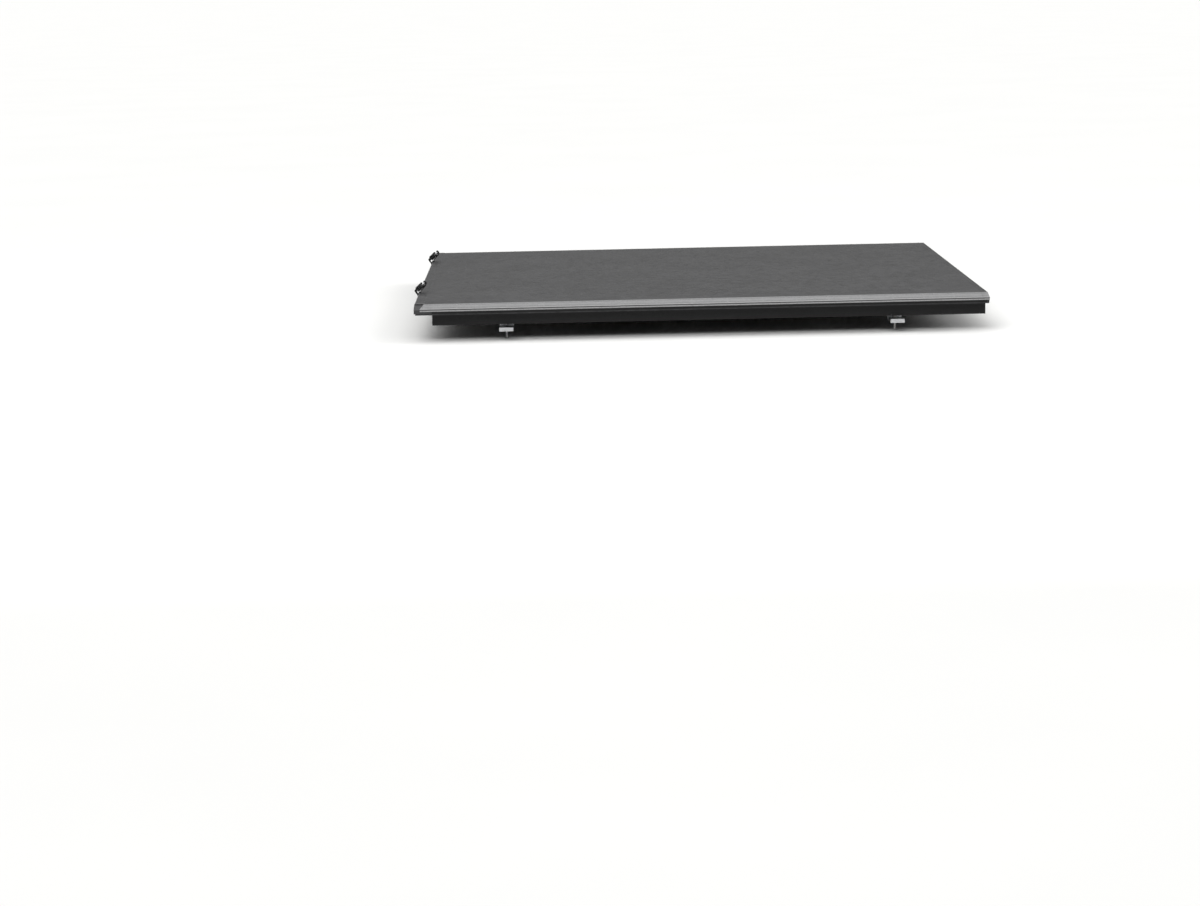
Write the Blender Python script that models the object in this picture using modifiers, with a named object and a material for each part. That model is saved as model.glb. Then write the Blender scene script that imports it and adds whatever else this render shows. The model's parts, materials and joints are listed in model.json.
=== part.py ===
"""Soft roll-up tonneau cover for a short pickup bed.

Metres, +Z up. X runs from the cab (-X) to the tailgate (+X) and Y runs across the bed, with the
driver's side at -Y. The origin is the middle of the plane in which the seals rest on the bed's caps.
In the helpers, u is the distance from the middle plane, and side is -1 on the left and +1 on the right.
"""
import math

import bmesh
import bpy
from mathutils import Matrix, Vector

# ---------------------------------------------------------------- driving dimensions
LENGTH = 1.644  # cover, cab edge to tailgate edge
WIDTH = 1.444  # cover, over both side flaps
GAP = 0.0003  # clearance between pieces that touch

SKIN_TOP = 0.029  # top of the skin over the flat middle
SKIN_EDGE = 0.018  # top of the skin at the outer edge of a side flap
SKIN = 0.0022  # skin with its backing
FOLD = 0.680  # half width of the flat middle
CORNER = 0.020  # the side flap starts this far behind the cab edge
LIP = 0.0022  # skin turned down over the header and the rear bar

PIVOT_Z = SKIN_TOP + 0.0004  # the skin bends about lines just above its top face
STRIPS = 14  # strips of skin between the header and the rear bar
SIDES = 7  # strips in one turn of the roll
ROLL_STEP = 0.0155  # growth of the roll's radius in one turn
ROLL_START = -0.620  # first bending line
REAR_STRIP = 0.058  # length of the last strip, which carries the rear bar
BOW_STRIPS = (2, 6, 10)  # strips that carry a bow, counted from the header

RAIL_DROP = 0.0045  # rail roof below the skin's top
RAIL_START = -0.7715
RAIL_END = 0.815
RAIL_FLOOR = 0.004  # underside of the rails and of the header
RAIL_FOOT = -0.034  # lower edge of the web inside the bed
WEB_IN = 0.6855
WEB_OUT = 0.688
FLANGE_IN = 0.662  # inner ledge that the bows rest on
FLANGE_TOP = 0.0155
WALL = 0.0025

HEADER_FRONT = -0.8195
HEADER_REAR = -0.774
BAR_END = 0.655  # half length of the header and of the rear bar, between their end castings
SCREW_U = (WEB_IN + WEB_OUT) / 2
SCREW_Z = 0.0125

SEAL_FRONT = -0.818
SEAL_END = RAIL_END + 0.006
SEAL_OUT = 0.720
SEAL_WIDTH = 0.026
UNDER_SKIN = SKIN_TOP - SKIN - GAP

BOW_WIDTH = 0.034
BOW_DEPTH = 0.0102
BOW_END = 0.640
BOW_WALL = 0.0016

REAR_BAR_FRONT = 0.772
REAR_BAR_BACK = 0.818
REAR_BAR_LOW = 0.0075
REAR_BAR_WALL = 0.002
LATCH_X = 0.788
LATCH_Z = 0.0142
BOLT_RADIUS = 0.0032
LATCH_TRAVEL = 0.012
CRADLE_U = 0.606  # inner end of the cradle that guides the bolt
COLLAR_U = 0.640  # collar on the bolt that its spring presses
TRIGGER_U = 0.593  # middle of the trigger's stem, with the latch bolt out

CLAMP_XS = (-0.56, 0.56)
CLAMP_LENGTH = 0.040
CLAMP_BOLT_U = 0.642
CLAMP_BOLT_RADIUS = 0.0038
CLAMP_BOLT_LOW = -0.080
JAW_TOP = -0.046  # top of the jaw's plate, clamped
JAW_TOE = -0.041  # pad that grips the bed flange

BUCKLE_U = 0.42
BUCKLE_CENTRE = (-0.8175, 0.0475)
BUCKLE_TILT = math.radians(45)
BUCKLE_LENGTH = 0.034
BUCKLE_THICK = 0.011
BUCKLE_WIDTH = 0.030
STRAP_WIDTH = 0.025
STRAP_THICK = 0.0012

FRONT = -LENGTH / 2
REAR = LENGTH / 2
HALF = WIDTH / 2
SIDE_NAMES = {-1: "left", 1: "right"}

# colour, roughness, metallic
VINYL = ((0.11, 0.11, 0.115), 0.55, 0.0)
TAPE = ((0.012, 0.012, 0.013), 0.95, 0.0)
BLACK_COAT = ((0.020, 0.020, 0.022), 0.42, 0.6)
BARE_ALLOY = ((0.62, 0.63, 0.65), 0.38, 1.0)
BLACK_PLASTIC = ((0.018, 0.018, 0.019), 0.50, 0.0)
GLOSS_PLASTIC = ((0.012, 0.012, 0.013), 0.22, 0.0)
WEBBING = ((0.020, 0.020, 0.021), 0.85, 0.0)
SEAL = ((0.030, 0.030, 0.032), 0.90, 0.0)
ZINC = ((0.55, 0.56, 0.57), 0.35, 1.0)


# ---------------------------------------------------------------- scene and materials
def clear_scene():
    for old in list(bpy.data.objects):
        bpy.data.objects.remove(old)


def new_collection(name):
    collection = bpy.data.collections.new(name)
    bpy.context.scene.collection.children.link(collection)
    return collection


def paint(obj, finish):
    """Give the object its own Principled material."""
    colour, roughness, metallic = finish
    material = bpy.data.materials.new(obj.name)
    material.use_nodes = True
    shader = material.node_tree.nodes["Principled BSDF"]
    shader.inputs["Base Color"].default_value = (*colour, 1.0)
    shader.inputs["Roughness"].default_value = roughness
    shader.inputs["Metallic"].default_value = metallic
    material.diffuse_color = (*colour, 1.0)
    obj.data.materials.clear()
    obj.data.materials.append(material)


def link(name, mesh):
    obj = bpy.data.objects.new(name, mesh)
    parts.objects.link(obj)
    return obj


# ---------------------------------------------------------------- building blocks
def weld(mesh):
    shape = bmesh.new()
    shape.from_mesh(mesh)
    bmesh.ops.remove_doubles(shape, verts=shape.verts, dist=1e-6)
    bmesh.ops.recalc_face_normals(shape, faces=shape.faces)
    shape.to_mesh(mesh)
    shape.free()


def as_mesh(obj):
    """Swap a curve, or an object with modifiers, for a plain welded mesh object."""
    bpy.context.view_layer.update()
    graph = bpy.context.evaluated_depsgraph_get()
    mesh = bpy.data.meshes.new_from_object(obj.evaluated_get(graph))
    weld(mesh)
    name = obj.name
    place = obj.matrix_world.copy()
    bpy.data.objects.remove(obj)
    mesh.name = name
    solid = link(name, mesh)
    solid.matrix_world = place
    return solid


def prism(name, loops, axis, start, stop):
    """Extrude closed outlines: (y, z) points along X, (x, z) points along Y, (x, y) points along Z."""
    curve = bpy.data.curves.new(name, "CURVE")
    curve.dimensions = "2D"
    curve.fill_mode = "BOTH"
    curve.extrude = (stop - start) / 2
    for loop in loops:
        spline = curve.splines.new("POLY")
        spline.points.add(len(loop) - 1)
        for point, (across, up) in zip(spline.points, loop):
            point.co = (across, up, 0.0, 1.0)
        spline.use_cyclic_u = True
    obj = link(name, curve)
    quarter = math.pi / 2
    middle = (start + stop) / 2
    if axis == "X":
        obj.rotation_euler = (quarter, 0, quarter)
        obj.location = (middle, 0, 0)
    elif axis == "Y":
        obj.rotation_euler = (quarter, 0, 0)
        obj.location = (0, middle, 0)
    else:
        obj.location = (0, 0, middle)
    return as_mesh(obj)


def box(name, low, high):
    """A box between two corners, whose coordinates may come in either order."""
    shape = bmesh.new()
    size = [abs(b - a) for a, b in zip(low, high)]
    bmesh.ops.create_cube(shape, size=1.0, matrix=Matrix.Diagonal((*size, 1.0)))
    mesh = bpy.data.meshes.new(name)
    shape.to_mesh(mesh)
    shape.free()
    obj = link(name, mesh)
    obj.location = [(a + b) / 2 for a, b in zip(low, high)]
    return obj


def rod(name, start, stop, radius, segments=16):
    """A closed cylinder between two points."""
    start = Vector(start)
    run = Vector(stop) - start
    shape = bmesh.new()
    bmesh.ops.create_cone(
        shape, cap_ends=True, segments=segments, radius1=radius, radius2=radius, depth=run.length
    )
    mesh = bpy.data.meshes.new(name)
    shape.to_mesh(mesh)
    shape.free()
    mesh.shade_smooth()
    mesh.set_sharp_from_angle(angle=math.radians(40))
    obj = link(name, mesh)
    obj.rotation_mode = "QUATERNION"
    obj.rotation_quaternion = run.to_track_quat("Z", "Y")
    obj.location = start + run / 2
    return obj


def boolean(obj, other, operation):
    """Cut or join with another object, which moves to the cutters."""
    parts.objects.unlink(other)
    cutters.objects.link(other)
    other.hide_render = True
    other.display_type = "WIRE"
    modifier = obj.modifiers.new(other.name, "BOOLEAN")
    modifier.operation = operation
    modifier.object = other
    modifier.solver = "EXACT"
    return obj


def bevel(obj, width, segments=2):
    modifier = obj.modifiers.new("rounded edges", "BEVEL")
    modifier.width = width
    modifier.segments = segments
    modifier.limit_method = "ANGLE"
    modifier.angle_limit = math.radians(50)
    return obj


def pivot(name, location, parent=None):
    """An empty on a joint's axis, to which the joint's moving pieces are parented."""
    empty = bpy.data.objects.new(name, None)
    empty.empty_display_size = 0.02
    parts.objects.link(empty)
    empty.location = location
    pivot_places[name] = Vector(location)
    if parent:
        hang(empty, parent)
    return empty


def hang(obj, parent):
    obj.parent = parent
    obj.matrix_parent_inverse = Matrix.Translation(pivot_places[parent.name]).inverted()


def on_side(side, loop):
    return [(side * u, z) for u, z in loop]


# ---------------------------------------------------------------- cross-sections
def skin_top(u):
    """Height of the skin's top face."""
    if u <= FOLD:
        return SKIN_TOP
    return SKIN_TOP - (SKIN_TOP - SKIN_EDGE) * (u - FOLD) / (HALF - FOLD)


def under_skin(u):
    """Top of a piece that carries the skin."""
    return skin_top(u) - SKIN - GAP


def rail_roof(u):
    return skin_top(u) - RAIL_DROP


def skin_section():
    """Flat middle with a sloping flap on each side."""
    top = [(-HALF, SKIN_EDGE), (-FOLD, SKIN_TOP), (FOLD, SKIN_TOP), (HALF, SKIN_EDGE)]
    return top + [(y, z - SKIN) for y, z in reversed(top)]


def rail_section():
    """Hollow sloping head, inner ledge, and web that hangs inside the bed wall."""
    outer = [
        (HALF, RAIL_FLOOR),
        (HALF, rail_roof(HALF)),
        (WEB_IN, rail_roof(WEB_IN)),
        (WEB_IN, FLANGE_TOP),
        (FLANGE_IN, FLANGE_TOP),
        (FLANGE_IN, FLANGE_TOP - WALL),
        (WEB_IN, FLANGE_TOP - WALL),
        (WEB_IN, RAIL_FOOT),
        (WEB_OUT, RAIL_FOOT),
        (WEB_OUT, RAIL_FLOOR),
    ]
    hollow_out = HALF - WALL
    hollow = [
        (WEB_OUT, RAIL_FLOOR + WALL),
        (hollow_out, RAIL_FLOOR + WALL),
        (hollow_out, rail_roof(hollow_out) - WALL),
        (WEB_OUT, rail_roof(WEB_OUT) - WALL),
    ]
    return outer, hollow


def frame_loops(x0, x1, z0, z1, wall, rounding=0.0):
    """Rectangular tube outline, with the lower-x, upper corner rounded."""
    corner = [(x0, z1)]
    if rounding:
        corner = [
            (x0 + rounding - rounding * math.sin(turn), z1 - rounding + rounding * math.cos(turn))
            for turn in (math.radians(15 * step) for step in range(7))
        ]
    outer = [(x0, z0), (x1, z0), (x1, z1)] + corner
    inner = [
        (x0 + wall, z0 + wall),
        (x1 - wall, z0 + wall),
        (x1 - wall, z1 - wall),
        (x0 + wall, z1 - wall),
    ]
    return [outer, inner]


def smooth_line(points, steps=4):
    """Points along a Catmull-Rom curve through hand-set points."""
    padded = [points[0]] + list(points) + [points[-1]]
    line = []
    for p0, p1, p2, p3 in zip(padded, padded[1:], padded[2:], padded[3:]):
        for step in range(steps):
            t = step / steps
            line.append(
                tuple(
                    0.5
                    * (
                        2 * b
                        + (c - a) * t
                        + (2 * a - 5 * b + 4 * c - d) * t * t
                        + (3 * b - a - 3 * c + d) * t**3
                    )
                    for a, b, c, d in zip(p0, p1, p2, p3)
                )
            )
    line.append(tuple(points[-1]))
    return line


def ribbon_loop(line, thick):
    """Outline of a strip of constant thickness along a line."""
    upper = []
    lower = []
    for index, point in enumerate(line):
        before = Vector(line[max(index - 1, 0)])
        after = Vector(line[min(index + 1, len(line) - 1)])
        along = (after - before).normalized()
        across = Vector((-along.y, along.x)) * (thick / 2)
        upper.append(tuple(Vector(point) + across))
        lower.append(tuple(Vector(point) - across))
    return upper + lower[::-1]


# ---------------------------------------------------------------- skin
def bending_lines():
    """Places along X of the lines on which the skin bends.

    The strips are the sides of a spiral polygon: each strip is a little shorter than the one
    before it, so that the roll grows by ROLL_STEP a turn.
    """
    side_factor = 2 * math.tan(math.pi / SIDES)
    shrink = ROLL_STEP / SIDES
    span = REAR - REAR_STRIP - ROLL_START
    first_radius = (span / side_factor + shrink * sum(range(STRIPS))) / STRIPS
    lines = [ROLL_START]
    for index in range(STRIPS):
        lines.append(lines[-1] + side_factor * (first_radius - shrink * index))
    return lines


def header_sheet():
    """Skin that stays on the header: no flaps at the corners, and a lip over the cab edge."""
    sheet = prism("cover_sheet_00", [skin_section()], "X", FRONT, lines[0] - GAP)
    for side in SIDE_NAMES:
        corner = box(
            f"corner_cut_{SIDE_NAMES[side]}",
            (FRONT - 0.01, side * (FOLD + 0.002), 0.0),
            (FRONT + CORNER, side * (HALF + 0.01), 0.05),
        )
        boolean(sheet, corner, "DIFFERENCE")
    edge = BAR_END - 0.003
    lip = box("front_lip", (FRONT, -edge, 0.010), (FRONT + LIP, edge, SKIN_TOP - 0.0005))
    boolean(sheet, lip, "UNION")
    paint(sheet, VINYL)


def rolling_sheets():
    for index in range(1, STRIPS + 1):
        start, stop = lines[index - 1], lines[index]
        name = f"cover_sheet_{index:02d}"
        sheet = prism(name, [skin_section()], "X", start + GAP, stop - GAP)
        paint(sheet, VINYL)
        hang(sheet, rolls[index])


def rear_sheet():
    sheet = prism("cover_sheet_rear", [skin_section()], "X", lines[-1] + GAP, REAR)
    edge = FOLD + 0.002
    lip = box("rear_lip", (REAR - LIP, -edge, 0.012), (REAR, edge, SKIN_TOP - 0.0005))
    boolean(sheet, lip, "UNION")
    paint(sheet, VINYL)
    hang(sheet, rolls[-1])


# ---------------------------------------------------------------- side rails
def side_rails():
    for side, word in SIDE_NAMES.items():
        loops = [on_side(side, loop) for loop in rail_section()]
        rail = prism(f"rail_{word}", loops, "X", RAIL_START, RAIL_END)
        notch = box(
            f"ledge_notch_{word}",
            (REAR_BAR_FRONT - 0.006, side * (FLANGE_IN - 0.01), 0.006),
            (RAIL_END + 0.01, side * (WEB_IN + 0.0002), FLANGE_TOP + 0.0015),
        )
        strike = rod(
            f"strike_hole_{word}",
            (LATCH_X, side * (WEB_IN - 0.006), LATCH_Z),
            (LATCH_X, side * (WEB_OUT + 0.006), LATCH_Z),
            BOLT_RADIUS + 0.0006,
        )
        boolean(rail, notch, "DIFFERENCE")
        boolean(rail, strike, "DIFFERENCE")
        paint(rail, BLACK_COAT)


def rail_end_caps():
    section = [
        (WEB_IN + GAP, RAIL_FLOOR + 0.0005),
        (HALF - 0.0005, RAIL_FLOOR + 0.0005),
        (HALF - 0.0005, rail_roof(HALF) - GAP),
        (WEB_IN + GAP, rail_roof(WEB_IN) - GAP),
    ]
    for side, word in SIDE_NAMES.items():
        ends = (RAIL_END + GAP, RAIL_END + 0.0063)
        paint(prism(f"rail_end_cap_{word}", [on_side(side, section)], "X", *ends), BLACK_PLASTIC)


def hook_tapes():
    inner, outer = WEB_IN + 0.001, HALF - 0.003
    low = [(inner, rail_roof(inner) + GAP), (outer, rail_roof(outer) + GAP)]
    loop = low + [(u, z + 0.0016) for u, z in reversed(low)]
    for side, word in SIDE_NAMES.items():
        tape = prism(f"hook_tape_{word}", [on_side(side, loop)], "X", RAIL_START, RAIL_END)
        paint(tape, TAPE)


def bed_seal():
    """One foam gasket round three sides of the bed: under the header and under both rails."""
    outer = [(SEAL_FRONT, -SEAL_OUT), (SEAL_FRONT, SEAL_OUT), (SEAL_END, SEAL_OUT)]
    inner_u = SEAL_OUT - SEAL_WIDTH
    inner_x = SEAL_FRONT + SEAL_WIDTH
    inner = [
        (SEAL_END, inner_u),
        (inner_x, inner_u),
        (inner_x, -inner_u),
        (SEAL_END, -inner_u),
        (SEAL_END, -SEAL_OUT),
    ]
    paint(prism("bed_seal", [outer + inner], "Z", 0.0, RAIL_FLOOR - GAP), SEAL)


# ---------------------------------------------------------------- clamps
def clamp_places():
    return [(side, x) for side in SIDE_NAMES for x in CLAMP_XS]


def clamp_brackets():
    """Flat hook over the rail's ledge, plate beside it, and foot that takes the bolt."""
    outer = FLANGE_IN - GAP
    inner = outer - 0.004
    hook = FLANGE_TOP + GAP
    loop = [
        (0.628, -0.020),
        (outer, -0.020),
        (outer, hook),
        (0.680, hook),
        (0.680, hook + 0.003),
        (inner, hook + 0.003),
        (inner, -0.015),
        (0.628, -0.015),
    ]
    for number, (side, x) in enumerate(clamp_places(), 1):
        ends = (x - CLAMP_LENGTH / 2, x + CLAMP_LENGTH / 2)
        bracket = prism(f"clamp_bracket_{number}", [on_side(side, loop)], "X", *ends)
        y = side * CLAMP_BOLT_U
        hole = rod(f"foot_hole_{number}", (x, y, -0.025), (x, y, -0.010), CLAMP_BOLT_RADIUS + 0.0006)
        paint(boolean(bracket, hole, "DIFFERENCE"), BARE_ALLOY)


def clamp_bolts():
    seat = -0.015 + GAP
    for number, (side, x) in enumerate(clamp_places(), 1):
        y = side * CLAMP_BOLT_U
        low, high = (x, y, CLAMP_BOLT_LOW), (x, y, seat + 0.001)
        bolt = rod(f"clamp_bolt_{number}", low, high, CLAMP_BOLT_RADIUS)
        head = rod(f"bolt_head_{number}", (x, y, seat), (x, y, seat + 0.006), 0.0068, 6)
        paint(boolean(bolt, head, "UNION"), ZINC)


def clamp_jaws():
    """Plate that the bolt draws up: its toe grips under the bed flange, its heel bears on the foot."""
    loop = [
        (0.630, JAW_TOP - 0.006),
        (0.712, JAW_TOP - 0.006),
        (0.712, JAW_TOE),
        (0.706, JAW_TOE),
        (0.706, JAW_TOP),
        (0.636, JAW_TOP),
        (0.636, -0.020 - GAP),
        (0.630, -0.020 - GAP),
    ]
    for number, (side, x) in enumerate(clamp_places(), 1):
        ends = (x - CLAMP_LENGTH / 2, x + CLAMP_LENGTH / 2)
        jaw = prism(f"clamp_jaw_{number}", [on_side(side, loop)], "X", *ends)
        y = side * CLAMP_BOLT_U
        hole = rod(f"jaw_hole_{number}", (x, y, -0.060), (x, y, -0.040), CLAMP_BOLT_RADIUS + 0.0006)
        boolean(jaw, hole, "DIFFERENCE")
        paint(jaw, BARE_ALLOY)
        hang(jaw, pivot(f"clamp_{number}_axis", (x, y, JAW_TOP)))


# ---------------------------------------------------------------- header
def header_rail():
    loops = frame_loops(HEADER_FRONT, HEADER_REAR, RAIL_FLOOR, UNDER_SKIN, WALL, 0.002)
    paint(prism("header_rail", loops, "Y", -BAR_END, BAR_END), BLACK_COAT)


def header_caps():
    """End castings: tongues into the header and the rail, and a bored seat for the tension screw."""
    inner = BAR_END + GAP
    loop = [
        (inner, RAIL_FLOOR),
        (HALF, RAIL_FLOOR),
        (HALF, under_skin(HALF)),
        (FOLD, under_skin(FOLD)),
        (inner, under_skin(inner)),
    ]
    for side, word in SIDE_NAMES.items():
        cap = prism(f"header_cap_{word}", [on_side(side, loop)], "X", FRONT, RAIL_START - GAP)
        header_tongue = box(
            f"header_tongue_{word}",
            (HEADER_FRONT + 0.003, side * 0.630, RAIL_FLOOR + 0.003),
            (HEADER_REAR - 0.003, side * (inner + 0.001), UNDER_SKIN - 0.003),
        )
        rail_tongue = box(
            f"rail_tongue_{word}",
            (RAIL_START - 0.001, side * 0.690, 0.0070),
            (RAIL_START + 0.026, side * 0.714, 0.0115),
        )
        y = side * SCREW_U
        bore = rod(f"screw_bore_{word}", (-0.83, y, SCREW_Z), (-0.76, y, SCREW_Z), 0.0034)
        recess = rod(f"screw_recess_{word}", (-0.83, y, SCREW_Z), (FRONT + 0.005, y, SCREW_Z), 0.0055)
        boolean(cap, header_tongue, "UNION")
        boolean(cap, rail_tongue, "UNION")
        boolean(cap, bore, "DIFFERENCE")
        boolean(cap, recess, "DIFFERENCE")
        paint(cap, BLACK_PLASTIC)


def tension_screws():
    """Screws that press on the rails' ends and push the header towards the cab."""
    seat = FRONT + 0.005 - GAP
    for side, word in SIDE_NAMES.items():
        y = side * SCREW_U
        tip = (RAIL_START - GAP, y, SCREW_Z)
        screw = rod(f"tension_screw_{word}", (seat - 0.001, y, SCREW_Z), tip, 0.003)
        head = rod(f"screw_head_{word}", (seat - 0.004, y, SCREW_Z), (seat, y, SCREW_Z), 0.0045)
        paint(boolean(screw, head, "UNION"), ZINC)


# ---------------------------------------------------------------- straps and buckles
def straps():
    """One webbing strap on each side, doubled on the header's face, with a buckle between its ends."""
    x0, z0 = BUCKLE_CENTRE
    reach = (BUCKLE_LENGTH / 2 + 2 * GAP) * math.cos(BUCKLE_TILT)
    lower_end = (x0 - reach, z0 - reach)
    upper_end = (x0 + reach, z0 + reach)
    face = FRONT - GAP - STRAP_THICK / 2
    outer_face = face - STRAP_THICK - GAP
    lying = SKIN_TOP + GAP + STRAP_THICK / 2
    under = [
        (face, 0.0105),
        (face, 0.020),
        (face + 0.0001, lying - 0.0018),
        (face + 0.0021, lying),
        (-0.810, lying),
        (-0.800, lying + 0.0006),
        (-0.7952, lying + 0.0055),
        (-0.7940, 0.045),
        (-0.7938, 0.055),
        (-0.7962, 0.0622),
        (-0.8010, 0.0632),
        upper_end,
    ]
    over = [
        (outer_face, 0.0105),
        (outer_face, 0.016),
        (outer_face - 0.0012, 0.0215),
        (-0.8305, 0.0268),
        (-0.8328, 0.0312),
        (-0.8318, 0.0338),
        lower_end,
    ]
    for side, word in SIDE_NAMES.items():
        ends = (side * BUCKLE_U - STRAP_WIDTH / 2, side * BUCKLE_U + STRAP_WIDTH / 2)
        loops = [ribbon_loop(smooth_line(points), STRAP_THICK) for points in (under, over)]
        strap = prism(f"strap_{word}", loops[:1], "Y", *ends)
        outer_half = prism(f"strap_outer_half_{word}", loops[1:], "Y", *ends)
        stitched = box(
            f"stitched_tab_{word}",
            (outer_face - STRAP_THICK / 3, ends[0] + GAP, 0.0110),
            (face + STRAP_THICK / 3, ends[1] - GAP, 0.0150),
        )
        boolean(strap, outer_half, "UNION")
        boolean(strap, stitched, "UNION")
        paint(strap, WEBBING)


def buckle_block(name, side, along, length, width, thick):
    """A block of a buckle, whose own X runs up along the strap."""
    shape = box(name, (-length / 2, -width / 2, -thick / 2), (length / 2, width / 2, thick / 2))
    x0, z0 = BUCKLE_CENTRE
    turned = Matrix.Rotation(-BUCKLE_TILT, 4, "Y")
    centre = Vector((x0, side * BUCKLE_U, z0)) + turned @ Vector((along, 0, 0))
    shape.rotation_euler = (0, -BUCKLE_TILT, 0)
    shape.location = centre
    return shape


def buckles():
    """Side-release buckles: a socket with a pocket, and a plug whose tongue fits the pocket."""
    socket_length = 0.019
    tongue = 0.0105
    plug_length = BUCKLE_LENGTH - socket_length - GAP
    low = -BUCKLE_LENGTH / 2
    mouth = low + socket_length
    for side, word in SIDE_NAMES.items():
        socket = buckle_block(
            f"buckle_socket_{word}",
            side,
            low + socket_length / 2,
            socket_length,
            BUCKLE_WIDTH,
            BUCKLE_THICK,
        )
        bevel(socket, 0.0018)
        pocket = buckle_block(f"pocket_{word}", side, mouth - 0.004, 0.016, 0.0216, 0.0066)
        boolean(socket, pocket, "DIFFERENCE")
        paint(socket, GLOSS_PLASTIC)

        plug = buckle_block(
            f"buckle_plug_{word}",
            side,
            mouth + GAP + plug_length / 2,
            plug_length,
            BUCKLE_WIDTH,
            BUCKLE_THICK,
        )
        bevel(plug, 0.0018)
        middle = mouth + GAP + 0.002 - (tongue + 0.002) / 2
        prong = buckle_block(f"prong_{word}", side, middle, tongue + 0.002, 0.0205, 0.0056)
        boolean(plug, prong, "UNION")
        paint(plug, GLOSS_PLASTIC)
        x0, z0 = BUCKLE_CENTRE
        hang(plug, pivot(f"buckle_{word}_axis", (x0, side * BUCKLE_U, z0)))


# ---------------------------------------------------------------- bows
def bows():
    """Channels open below, whose solid ends rest on the rails' ledges."""
    low = UNDER_SKIN - BOW_DEPTH
    for number, strip in enumerate(BOW_STRIPS, 1):
        middle = (lines[strip - 1] + lines[strip]) / 2
        front, back = middle - BOW_WIDTH / 2, middle + BOW_WIDTH / 2
        loop = [
            (front, low),
            (front, UNDER_SKIN),
            (back, UNDER_SKIN),
            (back, low),
            (back - BOW_WALL, low),
            (back - BOW_WALL, UNDER_SKIN - BOW_WALL),
            (front + BOW_WALL, UNDER_SKIN - BOW_WALL),
            (front + BOW_WALL, low),
        ]
        bow = prism(f"bow_{number}", [loop], "Y", -BOW_END, BOW_END)
        for side, word in SIDE_NAMES.items():
            end = box(
                f"bow_end_{number}_{word}",
                (front + 0.001, side * (BOW_END - 0.018), FLANGE_TOP + GAP),
                (back - 0.001, side * 0.681, UNDER_SKIN - GAP),
            )
            boolean(bow, end, "UNION")
        paint(bow, BARE_ALLOY)
        hang(bow, rolls[strip])


# ---------------------------------------------------------------- rear bar and latches
def rear_bar():
    loops = frame_loops(REAR_BAR_FRONT, REAR_BAR_BACK, REAR_BAR_LOW, UNDER_SKIN, REAR_BAR_WALL)
    bar = prism("rear_bar", loops, "Y", -BAR_END, BAR_END)
    for side, word in SIDE_NAMES.items():
        slot = box(
            f"trigger_slot_{word}",
            (LATCH_X - 0.004, side * (TRIGGER_U - LATCH_TRAVEL - 0.005), REAR_BAR_LOW - 0.003),
            (LATCH_X + 0.004, side * (TRIGGER_U + 0.005), REAR_BAR_LOW + REAR_BAR_WALL + 0.0005),
        )
        boolean(bar, slot, "DIFFERENCE")
    paint(bar, BLACK_COAT)
    hang(bar, rolls[-1])

    seal = box("rear_seal", (0.802, -BAR_END, 0.0), (0.817, BAR_END, REAR_BAR_LOW - GAP))
    paint(seal, SEAL)
    hang(seal, rolls[-1])


def rear_caps():
    """End castings of the rear bar: a block beside the rail, and a cradle for the latch inside the bar."""
    inner = BAR_END + GAP
    front = REAR_BAR_FRONT + REAR_BAR_WALL + 0.0005
    back = LATCH_X + 0.0145
    cradle_z = (REAR_BAR_LOW + REAR_BAR_WALL + 0.0005, UNDER_SKIN - REAR_BAR_WALL - 0.0005)
    outer = WEB_IN - 0.0007
    loop = [
        (inner, REAR_BAR_LOW),
        (outer, REAR_BAR_LOW),
        (outer, under_skin(outer)),
        (FOLD, under_skin(FOLD)),
        (inner, under_skin(inner)),
    ]
    ends = (REAR_BAR_FRONT, REAR_BAR_BACK)
    for side, word in SIDE_NAMES.items():
        cap = prism(f"rear_cap_{word}", [on_side(side, loop)], "X", *ends)
        cradle = box(
            f"cradle_{word}",
            (front, side * CRADLE_U, cradle_z[0]),
            (back, side * (inner + 0.001), cradle_z[1]),
        )
        room = box(
            f"cradle_room_{word}",
            (front + 0.002, side * (CRADLE_U + 0.004), cradle_z[0] - 0.002),
            (back - 0.002, side * (inner - 0.001), cradle_z[1] + 0.002),
        )
        bore = rod(
            f"bolt_bore_{word}",
            (LATCH_X, side * (CRADLE_U - 0.01), LATCH_Z),
            (LATCH_X, side * (WEB_IN + 0.01), LATCH_Z),
            BOLT_RADIUS + 0.0004,
        )
        boolean(cap, cradle, "UNION")
        boolean(cap, room, "DIFFERENCE")
        boolean(cap, bore, "DIFFERENCE")
        paint(cap, BLACK_PLASTIC)
        hang(cap, rolls[-1])


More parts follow.
